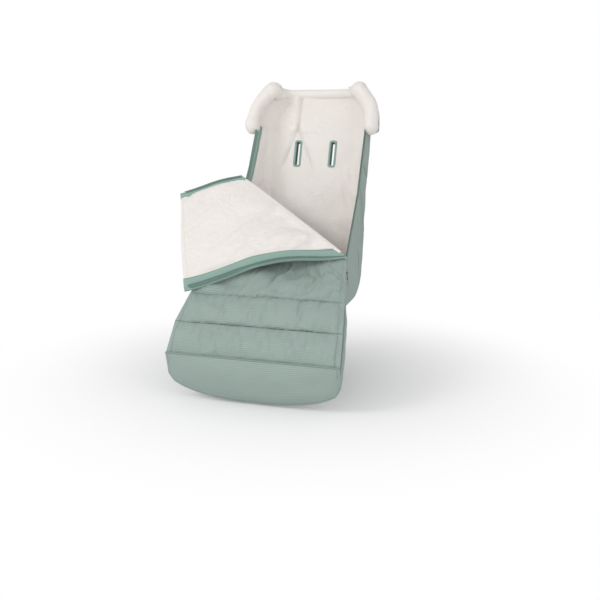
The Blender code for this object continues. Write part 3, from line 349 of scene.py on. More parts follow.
def cover_point(u, v):
    """Lower cover before padding; u runs from the left zip to the right, v from the toe seam to the fold."""
    dip = COVER_EDGE_DIP * edge_fall(max(lap_share(v) - DIP_START_share, 0.0) / (1.0 - DIP_START_share), 2)
    station = lower_station(v, LEFT_FOLD_STATION)
    low, high = EDGE_LIFT_STATIONS
    lift = COVER_EDGE_LIFT * edge_fall(min(max((station - low) / (high - low), 0.0), 1.0), 2)
    left = cover_edge(station, -1, COVER_ZIP_REACH + lift - dip)
    right = cover_edge(lower_station(v, RIGHT_FOLD_STATION), 1)
    return left.lerp(right, u)


def flap_point(u, v):
    """The flap where it lies when closed; v runs from the fold to the top hem."""
    reach = mix(COVER_ZIP_REACH, FLAP_CORNER_REACH, max(v, 0.0) ** FLAP_CORNER_POWER)
    left = cover_edge(mix(LEFT_FOLD_STATION, FLAP_HEM_STATION, v), -1, reach)
    right = cover_edge(mix(RIGHT_FOLD_STATION, FLAP_HEM_STATION, v), 1)
    return left.lerp(right, u)


def toe_point(u, v):
    """Back face of the toe panel, in the plane of station 0."""
    foot, up, height, rise = wing(0.0)
    half = zip_line(0.0).x
    flat = half * FLAT_shares[0]
    reach = min(max((abs(u) * half - flat) / (half - flat), 0.0), 1.0)
    low = rise * (1.0 - math.sqrt(1.0 - reach**2))
    lift = mix(low, height + BASE_ZIP_REACH + COVER_ZIP_REACH, v)
    return Vector((u * half, foot.x + up.x * lift, foot.y + up.y * lift))


def surface_normal(surface, a, b, inside):
    """Unit normal of a surface at (a, b), pointing away from the point inside."""
    along_a = surface(a + PROBE_STEP, b) - surface(a - PROBE_STEP, b)
    along_b = surface(a, b + PROBE_STEP) - surface(a, b - PROBE_STEP)
    normal = along_a.cross(along_b).normalized()
    return normal if normal.dot(surface(a, b) - inside) > 0.0 else -normal


def section_inset(surface, at, t, up, inside, inset):
    """A point inset from a U-shaped surface, measured square to it but kept in its own section plane."""
    edge = surface(at, t + PROBE_STEP) - surface(at, t - PROBE_STEP)
    rise = edge.y * up.x + edge.z * up.y
    in_plane = Vector((rise, -edge.x * up.x, -edge.x * up.y)).normalized()
    return surface(at, t) - in_plane * (inset / surface_normal(surface, at, t, inside).dot(in_plane))


def base_inset(station, t, inset):
    foot, up, height, _ = wing(station)
    inside = Vector((0.0, foot.x + up.x * height, foot.y + up.y * height))
    return section_inset(base_point, station, t, up, inside, inset)


def head_inset(share, t, inset):
    inside = Vector((0.0, *back_point(BACK_LENGTH, HEAD_DEPTH)))
    return section_inset(head_point, share, t, BACK_OUT, inside, inset)


def cover_offset(u, v, offset):
    inside = Vector((0.0, *base_line(lower_station(v, RIGHT_FOLD_STATION))))
    return cover_point(u, v) + surface_normal(cover_point, u, v, inside) * offset


def flap_offset(u, v, offset):
    inside = Vector((0.0, *base_line(mix(LEFT_FOLD_STATION, FLAP_HEM_STATION, v))))
    return flap_point(u, v) + surface_normal(flap_point, u, v, inside) * offset


def wing_taper(t):
    """Thins the padding towards the sewn top of a side wall."""
    return mix(1.0, EDGE_TAPER_share, max(abs(t) - 2.0, 0.0))


def wadding_face(t):
    return SHELL + CLEARANCE + WADDING * wing_taper(t)


def lining_face(t):
    return wadding_face(t) + CLEARANCE + FLEECE * wing_taper(t)


def facing_top(station):
    """Place round the section of the facing's lower edge."""
    _, _, height, rise = wing(station)
    return 3.0 - FACING_WIDTH / (height - rise)


def edge_fall(share, power):
    """1 in the middle of a panel and 0 at its two edges."""
    return 1.0 - abs(2.0 * share - 1.0) ** power


def lap_sag(u, v):
    """Drop of the cover under the weight of the folded flap."""
    lap = lap_share(v)
    rise = min(lap / LAP_CROWN_REACH_share, 1.0)
    return LAP_SAG * edge_fall(lap, 6) * rise * edge_fall(u, 6 if u < 0.5 else 2)


def channel_crown(u, v):
    """Swell of the lower cover's outer face between its seams."""
    lap = lap_share(v)
    if lap > 0.0:
        swell = LAP_CROWN * edge_fall(min(lap / LAP_CROWN_REACH_share, 1.0), 2) ** CROWN_POWER
        return swell * edge_fall(u, 6) - lap_sag(u, v)
    for low, high in ((0.0, SEAM_B_share), (SEAM_B_share, SEAM_A_share)):
        if v <= high:
            swell = max(edge_fall((v - low) / (high - low), 2), 0.0) ** CROWN_POWER
            return CHANNEL_CROWN * swell * edge_fall(u, 6)
    return 0.0


def cover_inner_face(u, v):
    thickness = SHELL + COVER_EDGE_WADDING + COVER_EDGE_FLEECE + 2 * CLEARANCE
    return thickness + INNER_CROWN * edge_fall(u, 2) * edge_fall(v, 6) + lap_sag(u, v)


def lower_rows():
    rows = []
    seams = (0.0, SEAM_B_share, SEAM_A_share)
    for low, high in zip(seams, seams[1:]):
        rows += [mix(low, high, share) for share in CHANNEL_ROW_shares]
    rows += [mix(SEAM_A_share, 1.0, share) for share in LAP_ROW_shares]
    left = cover_edge(LEFT_FOLD_STATION, -1) - cover_edge(lower_station(SEAM_A_share, LEFT_FOLD_STATION), -1)
    return rows + [1.0 - FOLD_GAP / left.length * (1.0 - SEAM_A_share)]


def flap_crown(u, v):
    return FLAP_CROWN * edge_fall(u, 4) * edge_fall(v, 4)


def flap_inner_face(u, v):
    thickness = SHELL + COVER_EDGE_WADDING + COVER_EDGE_FLEECE + 2 * CLEARANCE
    return thickness + FLAP_LOFT * edge_fall(u, 2) * edge_fall(v, 4)


def band_face(u, v):
    return flap_inner_face(u, v) - COVER_EDGE_FLEECE + FACING_THICKNESS


def flap_rows():
    short_side = (cover_edge(TOP_STATION, -1) - cover_edge(LEFT_FOLD_STATION, -1)).length
    start = FOLD_GAP / short_side
    return [mix(start, 1.0, share) for share in FLAP_ROW_shares]


def band_share(v):
    return BAND_WIDTH / (flap_point(1.0, v) - flap_point(0.0, v)).length


def flap_columns(v):
    """Columns of every flap layer; the second from each side runs along the inner edge of a facing band."""
    band = band_share(v)
    return [0.0, *[mix(band, 1.0 - band, share) for share in INNER_COLUMN_shares], 1.0]


def toe_swell(u, v):
    return TOE_CROWN * edge_fall((u + 1.0) / 2.0, 4) * edge_fall(v, 3)


def base_anchor(station):
    """End of the base tape, just clear of the wing's sewn top edge."""
    middle = (SHELL + lining_face(3.0)) / 2
    edge = base_inset(station, 3.0, middle)
    _, up, _, _ = wing(station)
    return edge + Vector((0.0, up.x, up.y)) * CLEARANCE


def on_base_rows(anchor, station):
    """An anchor point straight between the base's own rows, so that it follows the faceted edge."""
    low = max(s for s in BASE_STATIONS[:-1] if s <= station)
    high = BASE_STATIONS[BASE_STATIONS.index(low) + 1]
    return mix(anchor(low), anchor(high), (station - low) / (high - low))


def under_edge(offset_point, face, clearance, rows, columns, side, v):
    """A point just under a cover's edge, between the cover's own corners, for the end of its tape."""
    low = max([row for row in rows if row <= v] or rows[:1])
    high = min([row for row in rows if row > low] or rows[-1:])
    ends = []
    for row in (low, high):
        outermost = columns(row)[-2:][::-1] if side > 0 else columns(row)[:2]
        edge, next_in = [
            offset_point(u, row, -face(u, row) - clearance - TAPE_THICKNESS / 2) for u in outermost
        ]
        ends.append(edge + (next_in - edge).normalized() * TAPE_INSET)
    return mix(ends[0], ends[1], (v - low) / (high - low) if high > low else 0.0)


def zip_stations(low, high):
    """Stations of a zip: close together round the corners of its line, and one halfway along each stretch."""
    near = [corner + d for corner in range(TOP_STATION) for d in (-SOFT_STEP, 0.0, SOFT_STEP, 0.5)]
    return sorted([low, high, *[s for s in near if low + SOFT_STEP / 2 < s < high - SOFT_STEP / 2]])


def lower_share(station, last):
    """Row of the lower cover at a station: the reverse of lower_station."""
    if station <= 1.0:
        return station * SEAM_B_share
    if station <= 2.0:
        return mix(SEAM_B_share, SEAM_A_share, station - 1.0)
    return mix(SEAM_A_share, 1.0, (station - 2.0) / (last - 2.0))


def head_loft(t):
    """Extra wadding towards the side walls of the head end."""
    reach = min(max(abs(t) - 1.0, 0.0), 1.0)
    return LOBE_LOFT * reach * reach * (3.0 - 2.0 * reach)


def pocket_stand(share, reach_share):
    return POCKET_SEAM_STAND + POCKET_GAP * (1.0 - share**3) * (1.0 - abs(reach_share) ** 6)


def slot_places():
    """Name, frame (Y along the slot, Z into the bag), length and parts of each harness slot."""
    places = []
    x_axis = Vector((1.0, 0.0, 0.0))
    up, inward = Vector((0.0, *BACK_UP)), Vector((0.0, *BACK_OUT))
    for side, word in ((-1, "left"), (1, "right")):
        origin = Vector((side * SHOULDER_SLOT_SPACING / 2, *back_point(SHOULDER_SLOT_HEIGHT, 0.0)))
        places.append(("shoulder_" + word, axes_matrix(origin, x_axis, up, inward), SHOULDER_SLOT, "back"))
        origin = Vector((side * WAIST_SLOT_SPACING / 2, CREASE.x - WAIST_SLOT_SETBACK, SEAT_LEVEL))
        places.append(("waist_" + word, Matrix.Translation(origin), WAIST_SLOT, "seat"))
    origin = Vector((0.0, KNEE.x + CROTCH_SLOT_SETBACK, SEAT_LEVEL))
    places.append(("crotch", Matrix.Translation(origin), CROTCH_SLOT, "seat"))
    return places


# The photograph, 600 pixels square, and the camera fitted to it
PHOTO_SIZE = 600
FOCAL_PX = 851.0
PRINCIPAL_PX = (280.6, 321.2)
SENSOR_MM = 36.0
CAMERA_AT = Vector((0.656, -1.995, 0.465))
CAMERA_RIGHT = Vector((0.9469, 0.3216, 0.0))
CAMERA_UP = Vector((-0.0745, 0.2193, 0.9728))
CAMERA_BACK = Vector((0.3128, -0.9211, 0.2316))

# Mesh and noise
TINY = 1e-12
RIM_STEPS = 3
NOISE_CELLS = 64
TUFT_LAYERS = ((0.55, 1.0, 0.6), (-0.85, 0.62, 0.4))
TUFT_SIZE = 0.010

# Cloth simulation of the cover's channels
CLOTH_SETTINGS = {
    "vertex_group_mass": "pins",
    "quality": 6,
    "mass": 0.15,
    "tension_stiffness": 12,
    "compression_stiffness": 12,
    "shear_stiffness": 4,
    "bending_stiffness": 0.6,
    "air_damping": 4,
    "shrink_min": -0.045,
    "shrink_max": -0.045,
    "use_pressure": True,
    "uniform_pressure_force": 2.5,
}
CLOTH_FRAMES = 16
CLOTH_CAP = 0.007
CLOTH_START_share = 0.9
PINNED_share = 0.0035

# Seams and stitches
PINCH = 0.0016
PINCH_WIDTH = 0.0022
VALLEY_WIDTH = 0.009
PUCKER = 0.0016
PUCKER_REACH = 0.016
PUCKER_START = 0.003
PUCKER_FOLDS = ((1.0, 0.0085, 0.035, 7.0, 0.0, 0), (0.5, 0.0042, 0.020, 0.0, 3.0, 11))
SIDE_SEAM_INSET = 0.012
HEM_SEAM_INSET = 0.010
STITCH_PITCH = 0.0042
STITCH_LENGTH = 0.0029
STITCH_RADIUS = 0.00032
STITCH_SIDES = 5
STITCH_SINK_share = 0.4
EDGE_share = 0.05

# Waves of each piece: rows of height, length across, length along and seed
COVER_WAVES = ((0.0012, 0.045, 0.030, 5), (0.0006, 0.018, 0.016, 6))
GATHER_RIDGES = ((1.9, 0.0125, 0.07, 41),)
GATHER_FINE = ((0.16, 0.0065, 0.05, 42),)
FLAP_WAVES = ((0.0010, 0.05, 0.04, 15), (0.0005, 0.02, 0.02, 16))
FLAP_RIDGES = ((1.0, 0.026, 0.14, 33),)
FLAP_WRINKLES = ((1.0, 0.013, 0.09, 34),)
FLAP_BROAD = ((0.0026, 0.075, 0.070, 35),)
TOE_WAVES = ((0.0012, 0.05, 0.03, 62), (0.0005, 0.02, 0.02, 63))
BASE_WAVES = ((0.0011, 0.06, 0.04, 102), (0.0006, 0.022, 0.020, 103))
LINING_WAVES = ((0.0052, 0.080, 0.070, 121),)
HIP_FOLDS = ((1.0, 0.026, 0.09, 123),)
HEAD_WAVES = ((0.0010, 0.05, 0.03, 141),)
HEAD_LINING_WAVES = ((0.0030, 0.06, 0.045, 143),)
POCKET_GATHERS = ((0.0022, 0.0075, 0.05, 151),)
POCKET_WAVES = ((0.0010, 0.05, 0.03, 152),)
ELASTIC_GATHERS = ((0.0013, 0.0060, 0.05, 153),)
COVER_PILE = (0.0007, 71)
FLAP_PILE_TUFTS = (0.0010, 81)
TOE_PILE = (0.0004, 64)
BASE_PILE = (0.0010, 111)
HEAD_PILE = (0.0010, 142)

# Cover
COVER_OUTWARD = (0.0, -0.5, 0.8)
COVER_PLACES = (21, 25)
COVER_FINE_PLACES = (141, 131)
SEAM_ROW_STEPS = (-0.02, 0.0, 0.02)
FINE_SEAM_ROW_STEPS = (-0.006, -0.003, 0.0, 0.003, 0.006)
SIDE_DENT = (0.0008, 0.0016)
# Darkening painted along the cover's seams and side seams, strength and width: thread lines with painted
# shade in their grooves.
SEAM_LINE_AND_SHADE_TINT = (0.7, 0.0012)
SIDE_TINT = (0.4, 0.0009)
STITCH_OFFSET = 0.0052
LEAST_PADDING = 0.0020
LEAST_COVER = 0.0042
LOWEST_REACH = 3
BAND_LINE = (0.325, 0.575)
BAND_LINE_FLAT = (0.415, 0.20)
BAND_LINE_REACH = 0.287
GATHER = 0.0120
GATHER_CENTRE = 0.070
GATHER_FAN = 0.055
GATHER_TOP_share = 0.30
GATHER_RAISE_share = 0.40
GATHER_FADES = (0.026, 0.020)
GATHER_SPREAD = ((-0.06, 0.04), (0.150, 0.176), (-0.13, -0.05))
GATHER_LEAST_share = 0.25

# Flap, its band and the fold
FLAP_PLACES = (21, 31)
FLAP_END_FADE = 0.015
# Darkening painted along the flap's seams: thread lines with painted shade in their dents.
FLAP_SEAM_AND_SHADE_TINT = (0.75, 0.0009)
FLAP_SEAM_DENT = (0.0007, 0.0018)
FLAP_LINING_FADE = 0.010
FLAP_HEM_FADES = (0.012, 0.03)
FLAP_HEM_DENT = (0.0010, 0.0020)
FLAP_HEM_TINT = (0.35, 0.0012)
FLAP_DIAGONAL = (0.884, 0.468)
FLAP_NEAR = 0.12
FLAP_NEAR_SPREAD = (-0.12, 0.10)
FLAP_WAVE_START = (0.004, 0.034)
FLAP_RIDGE_HEIGHT = 0.0095
FLAP_RIDGE_LEAST_share = 0.22
FLAP_WRINKLE_HEIGHT = 0.0040
BAND_SPREAD = 1.36
BAND_TUCK = 0.04
LEFT_SLIVER = 0.011
BAND_OVERLAP = 0.001
FLAP_PILE = 0.0032
FOLD_PILE = 0.0004
FOLD_PILE_REACH = 0.030
BAND_RAISE = 0.0006
BAND_SINK = 0.0002
BAND_RIPPLE = (0.0009, 0.030, 0.05)
BAND_SWELL = 0.0012
BAND_SWELL_POWER = 0.7
# Stitch lines of the band: place, dent depth, and darkness painted there for the thread line and the shade in
# the dent.
BAND_STITCHES = ((0.0035, 0.0006, 0.8), (BAND_WIDTH * 0.9, 0.0006, 0.6))
BAND_STITCH_WIDTHS = (0.0010, 0.0007)
BAND_STITCH_shares = (0.14, 0.9)
FOLD_COUNT = 121
FOLD_TURNS = 15
FOLD_FACING_COLUMNS = 7
FOLD_FABRIC_share = 0.50
FOLD_PLUMP = 0.0016
FOLD_PLUMP_POWER = 0.6
FOLD_PLUMP_END_share = 0.12
FOLD_PLUMP_TOP_share = 0.55
FOLD_CORE_share = 0.35
FOLD_CORE_LEAST = 0.0012
FOLD_BLEND_share = 0.45
FOLD_OUTSIDE = Vector((0.0, 0.6, 0.8))

# Toe
TOE_EDGE_shares = (0.06, 0.08)
TOE_PUCKER_share = 0.8
# Darkening painted a little inside the toe's edges, strength, place and width: a seam line with painted
# shade.
TOE_TINT = (0.5, 0.006, 0.0010)
TOE_TUCK = 0.008
PIPING_RADIUS = 0.0021
PIPING_SIDES = 8
PIPING_TINT = 0.30
PIPING_SIDEWAYS = (0.01, 0.01, 1.01)
SEAM_DROP_share = 0.10

# Base
BASE_RIM_SECTION = (-3.0, -2.75, -2.5, -2.25, -2.0, -1.8, -1.6, -1.4, -1.2, -1.0)
BASE_SECTION = BASE_RIM_SECTION + (-0.75, -0.5, -0.25)
BASE_SEAM_STATIONS = (KNEE_STATION, CREASE_STATION, 6.4, 7.2)
BASE_FADES = (0.25, 0.3)
BASE_PINCH = (0.0016, 0.0022)
BASE_PUCKER_share = 0.9
BASE_CORNER_DENT = (0.0014, 0.03)
BASE_RAISE = 0.0012
# Widths of the base's painted darkening: along seams, a seam line with painted shade; at the floor's corner
# crease, painted shade alone.
BASE_TINT_WIDTHS = (0.0011, 0.008)
LINING_COLUMNS = 201
LINING_EDGE_share = 0.06
LINING_GAP_share = CLEARANCE / 0.05
HIP_HEIGHT = 0.0085
HIP_TOP_share = 0.4
HIP_ACROSS = (0.05, 0.11)
HIP_UP = (0.30, 0.38)
LINING_TUFTS = (0.0026, 0.036, 122)
CREASE_X = -0.053
CREASE_FORK_Z = 0.438
CREASE_FORK_BLEND = (-0.010, 0.012)
CREASE_END = (-0.13, -0.06)
CREASE_LEANS = (0.10, 0.40, 0.50)
CREASE_DEPTH = 0.0085
CREASE_WIDTH = 0.0065
CREASE_SHOULDER = 0.030
CREASE_SHAPE_shares = (0.75, 1.3)
# Painted shade along the fleece creases: strength and width.
CREASE_SHADE = (0.55, 0.0042)
SLOT_CALM = (0.005, 0.028)
SLOT_DEPTH = 0.05
TRIM_WIDTH = 0.0052
TRIM_HEIGHT = 0.0016
TRIM_STAND = 0.0006
TRIM_CORNER_share = 0.6
TRIM_AROUND = 72
TRIM_SECTION = (
    (-0.5, -1.2), (-0.52, 0.25), (-0.36, 0.85), (0.0, 1.0), (0.36, 0.85), (0.52, 0.2), (0.5, -0.6),
)
TRIM_TINT = 0.1
SIDE_FACING_TUCK = 0.02
SIDE_FACING_GROUND_share = 0.6
SIDE_FACING_RIPPLE = (0.0006, 0.022, 0.02)
SIDE_FACING_SWELL = 0.0008
SIDE_FACING_GROOVE = (FACING_WIDTH * 0.42, 0.0005, 0.0012)
# Darkening painted on the side facings, strength, place and width: at the groove and at the stitch line, a
# seam line with painted shade.
SIDE_FACING_TINTS = ((1.0, FACING_WIDTH * 0.42, 0.0009), (0.7, FACING_WIDTH * 0.12, 0.0007))
SIDE_STITCH_share = 0.12

# Zips
ZIP_STEP = 0.003
ZIP_COARSE = 25
TAPE_START_share = 0.55
TAPE_COLUMN_shares = (0.0, 0.12, 0.3, 0.5, 0.75, 1.0)
TAPE_HALF_share = 0.4
TOOTH_PITCH = 0.0019
TOOTH_LENGTH = 0.0011
TOOTH_HEIGHT_share = 0.95
TOOTH_PROFILE = ((0.0, 0.55), (0.25, 1.0), (0.8, 1.0), (1.0, 0.6))
SQUARE = ((-1, -1), (1, -1), (1, 1), (-1, 1))

# Head end and pocket
HEAD_SECTION = BASE_RIM_SECTION + (-0.66, -0.33)
HEAD_START_share = -0.03
HEAD_FADES = (0.3, 0.1)
HEAD_BULGES = (0.35, 0.3)
HEAD_PLUMP = 0.0045
HEAD_WAVE_START_share = 0.25
HEAD_ROLL_PROUD = 0.0036
HEAD_ROLL_SINK_share = 0.34
HEAD_ROLL_END_SINK_share = -0.30
HEAD_ROLL_ROW = 1
HEAD_ROLL_RETURN = 26
HEAD_ROLL_EASE = 5
HEAD_ROLL_INWARD = (5, 4, 6)
HEAD_ROLL_STEP = 0.003
HEAD_ROLL_SIDES = 16
HEAD_ROLL_END = (0.010, 0.05)
HEAD_ROLL_BULGE = (0.07, 0.034, 1.3, 161)
MOUTH_REACH = 0.020
POCKET_EDGE_share = 0.08
POCKET_TINT = (0.8, 0.011, 0.0009)
ELASTIC_SWELLS = (0.0010, 0.0008)

# Floor and light
FLOOR_REACH = 30.0
FLOOR_DROP = 0.004
FLOOR_COLOUR = (0.93, 0.93, 0.93)
FLOOR_SHADOW_REACH = 0.15
FLOOR_WHITE_REACH = 0.85
WHITE = (1.0, 1.0, 1.0, 1.0)
WORLD_LIGHT = 0.64
LIT_PLACE = Vector((0.0, 0.0, 0.1))
LAMPS = (
    ("key_light", (-2.1, -2.2, 2.0), 1.3, 38.0),
    ("side_light", (2.4, -1.7, 1.3), 2.0, 14.0),
    ("low_light", (0.7, -2.8, 0.45), 1.0, 11.0),
)


def bell(run, at, width):
    """1 at a place and 0 away from it."""
    return np.exp(-(((run - at) / width) ** 2))


def faded(run, reach):
    """0 at an edge, and 1 from the reach on."""
    return np.clip(run / reach, 0.0, 1.0)


def unit(vectors):
    return vectors / (np.linalg.norm(vectors, axis=-1, keepdims=True) + TINY)


def lifted(points, normals, height):
    return points + normals * np.asarray(height, float)[..., None]


def run_along(points):
    """Distance run along a line of points."""
    return np.concatenate([[0.0], np.cumsum(np.linalg.norm(np.diff(points, axis=0), axis=1))])


def read_at(values, run, at):
    """Values along a run, read at other places of it."""
    return np.stack([np.interp(at, run, column) for column in values.T], axis=1)


def hermite(values, at, fine, axis):
    """Smooth curve through values, read at finer places along an axis."""
    values = np.moveaxis(values, axis, 0)
    at, fine = np.asarray(at, float), np.asarray(fine, float)
    slopes = np.gradient(values, at, axis=0)
    index = np.clip(np.searchsorted(at, fine, side="right") - 1, 0, len(at) - 2)
    width = at[index + 1] - at[index]
    share = (fine - at[index]) / width
    shape = (-1,) + (1,) * (values.ndim - 1)
    s, w = share.reshape(shape), width.reshape(shape)
    low, high = values[index], values[index + 1]
    result = (
        (2 * s**3 - 3 * s**2 + 1) * low
        + (s**3 - 2 * s**2 + s) * w * slopes[index]
        + (3 * s**2 - 2 * s**3) * high
        + (s**3 - s**2) * w * slopes[index + 1]
    )
    return np.moveaxis(result, 0, axis)


class Grid:
    """Coarse places where a surface is worked out, and the finer ones of its mesh."""

    def __init__(self, us, vs, fine_us, fine_vs):
        self.us, self.vs = us, vs
        self.fine_us, self.fine_vs = np.array(fine_us), np.array(fine_vs)

    def refined(self, values):
        return hermite(hermite(np.array(values), self.vs, self.fine_vs, 0), self.us, self.fine_us, 1)

    def points(self, point_of):
        return self.refined([[tuple(point_of(u, v)) for u in self.us] for v in self.vs])

    def numbers(self, number_of):
        return self.refined([[number_of(u, v) for u in self.us] for v in self.vs])


def normals_of(points, outward):
    """Unit normals of a grid of points, on the side of the vector outward."""
    normal = unit(np.cross(np.gradient(points, axis=1), np.gradient(points, axis=0)))
    middle = normal[points.shape[0] // 2, points.shape[1] // 2]
    return normal if np.dot(middle, np.asarray(outward)) > 0 else -normal


def arc_lengths(points):
    """Real distances along the rows and along the middle column, for the weave."""
    along_u = np.linalg.norm(np.diff(points, axis=1), axis=2)
    along_v = np.linalg.norm(np.diff(points, axis=0), axis=2).mean(axis=1)
    u = np.concatenate([np.zeros((points.shape[0], 1)), np.cumsum(along_u, axis=1)], axis=1)
    u -= u[:, points.shape[1] // 2][:, None]
    v = np.concatenate([[0.0], np.cumsum(along_v)])
    return u, np.repeat(v[:, None], points.shape[1], axis=1)


def from_sides(across):
    """Distance to the nearer side of a sheet."""
    return np.minimum(np.abs(across - across[:, :1]), np.abs(across[:, -1:] - across))


def noise(x, y, seed):
    """Smooth seeded noise from -1 to 1 at places in an array."""
    cells = np.random.RandomState(seed).uniform(-1.0, 1.0, (NOISE_CELLS, NOISE_CELLS))
    x, y = np.asarray(x, float), np.asarray(y, float)
    x0, y0 = np.floor(x).astype(int), np.floor(y).astype(int)
    fx, fy = x - x0, y - y0
    fx, fy = fx * fx * (3 - 2 * fx), fy * fy * (3 - 2 * fy)
    x1, y1 = (x0 + 1) % NOISE_CELLS, (y0 + 1) % NOISE_CELLS
    x0, y0 = x0 % NOISE_CELLS, y0 % NOISE_CELLS
    low = cells[x0, y0] * (1 - fx) + cells[x1, y0] * fx
    high = cells[x0, y1] * (1 - fx) + cells[x1, y1] * fx
    return low * (1 - fy) + high * fy


def waves(across, along, rows):
    """Soft waves, from rows of height, length across, length along and seed."""
    return sum(height * noise(across / wide, along / long, seed) for height, wide, long, seed in rows)


def tufts(across, along, height, seed, size=TUFT_SIZE):
    """Short uneven clumps of pile, with no grid in them."""
    result = 0.0
    for index, (lean, share, weight) in enumerate(TUFT_LAYERS):
        cell = size * share
        x, y = (across + lean * along) / cell, (along - lean * across) / cell
        result = result + weight * noise(x, y, seed + index)
    return height * result


def ramp(values, low, high):
    """0 below low, 1 above high, smooth between."""
    share = np.clip((np.asarray(values, float) - low) / (high - low), 0.0, 1.0)
    return share * share * (3 - 2 * share)


def spread(low, high, count):
    return [low + (high - low) * i / (count - 1) for i in range(count)]


def both_sides(places):
    """Places left of the middle, the middle, and the same on the right."""
    return [*places, 0.0, *[-t for t in reversed(places)]]


def with_rows_near(places, seams, steps):
    """Sorted places with extra ones close to each seam."""
    extra = [s + d for s in seams for d in steps]
    low, high = places[0], places[-1]
    return sorted(set(round(p, 6) for p in list(places) + [e for e in extra if low <= e <= high]))


def linked(name, data):
    thing = bpy.data.objects.new(name, data)
    bpy.context.scene.collection.objects.link(thing)
    return thing


def plain_mesh(name, vertices, faces):
    mesh = bpy.data.meshes.new(name)
    mesh.from_pydata([tuple(p) for p in vertices], [], faces)
    return mesh


def new_piece(name, vertices, faces, material, uv=None, seam=None):
    """A mesh object; uv holds one pair for each vertex, and seam one number from 0 to 1, the share of painted
    darkening: a seam line with painted shade, or painted shade alone in creases.
    """
    mesh = plain_mesh(name, vertices, faces)
    if uv is not None:
        layer = mesh.uv_layers.new(name="cloth")
        loops = np.empty(len(mesh.loops), int)
        mesh.loops.foreach_get("vertex_index", loops)
        layer.data.foreach_set("uv", np.asarray(uv, float)[loops].ravel())
    if seam is not None:
        numbers = np.broadcast_to(np.asarray(seam, float), (len(vertices),))
        mesh.attributes.new("seam", "FLOAT", "POINT").data.foreach_set("value", numbers.ravel())
    mesh.validate()
    piece = linked(name, mesh)
    mesh.materials.append(material)
    mesh.shade_smooth()
    return piece


def grid_faces(rows, columns, start, flip):
    index = np.arange(rows * columns).reshape(rows, columns) + start
    quads = np.stack([index[:-1, :-1], index[:-1, 1:], index[1:, 1:], index[1:, :-1]], axis=-1).reshape(-1, 4)
    return (quads[:, ::-1] if flip else quads).tolist()


def ring_faces(count, around, closed=False, flip=False):
    """Faces between rings of points: open ends get caps, and closed ones go round to the first ring."""
    faces = []
    for i in range(count if closed else count - 1):
        low, high = i * around, (i + 1) % count * around
        for k in range(around):
            j = (k + 1) % around
            quad = (low + k, low + j, high + j, high + k)
            faces.append((quad[0], *quad[:0:-1]) if flip else quad)
    if not closed:
        last = (count - 1) * around
        caps = [tuple(range(around - 1, -1, -1)), tuple(last + k for k in range(around))]
        faces += [cap[::-1] for cap in caps] if flip else caps
    return faces


def loop_of(rows, columns):
    """Rows and columns of the points round the edge of a grid."""
    top = [(0, c) for c in range(columns)]
    right = [(r, columns - 1) for r in range(1, rows)]
    bottom = [(rows - 1, c) for c in range(columns - 2, -1, -1)]
    left = [(r, 0) for r in range(rows - 2, 0, -1)]
    return np.array(top + right + bottom + left).T


def closed_sheet(name, outer, inner, material, seam=None, bulge=0.5):
    """A closed padded sheet between two grids of points, with a rounded rim; seam holds the painted darkening
    of each point, a seam line with painted shade.
    """
    rows, columns = outer.shape[:2]
    r, c = loop_of(rows, columns)
    out = unit(outer[r, c] - outer[np.clip(r, 1, rows - 2), np.clip(c, 1, columns - 2)])
    half = (outer[r, c] - inner[r, c]) / 2
    middle = (outer[r, c] + inner[r, c]) / 2
    reach = np.linalg.norm(half, axis=1, keepdims=True) * bulge
    rings = []
    for step in range(1, RIM_STEPS + 1):
        angle = math.pi * step / (RIM_STEPS + 1)
        rings.append(middle + half * math.cos(angle) + out * reach * math.sin(angle))
    uv = np.stack(arc_lengths(outer), axis=-1)
    seam = np.zeros((rows, columns)) if seam is None else seam
    count, length = rows * columns, len(r)
    vertices = np.concatenate([outer.reshape(-1, 3), inner.reshape(-1, 3), *rings])
    all_uv = np.concatenate([uv.reshape(-1, 2), uv.reshape(-1, 2), *([uv[r, c]] * RIM_STEPS)])
    all_seam = np.concatenate([seam.ravel(), seam.ravel(), *([seam[r, c]] * RIM_STEPS)])
    ids = r * columns + c
    between_layers = [2 * count + step * length + np.arange(length) for step in range(RIM_STEPS)]
    layers = [ids, *between_layers, count + ids]
    faces = grid_faces(rows, columns, 0, False) + grid_faces(rows, columns, count, True)
    for low, high in zip(layers, layers[1:]):
        faces += np.stack([low, high, np.roll(high, -1), np.roll(low, -1)], axis=1).tolist()
    piece = new_piece(name, vertices, faces, material, all_uv, all_seam)
    corners = vertices[faces[0][:3]]
    normal = np.cross(corners[1] - corners[0], corners[2] - corners[0])
    if np.dot(normal, outer[0, 0] - inner[0, 0]) < 0:
        piece.data.flip_normals()
    return piece


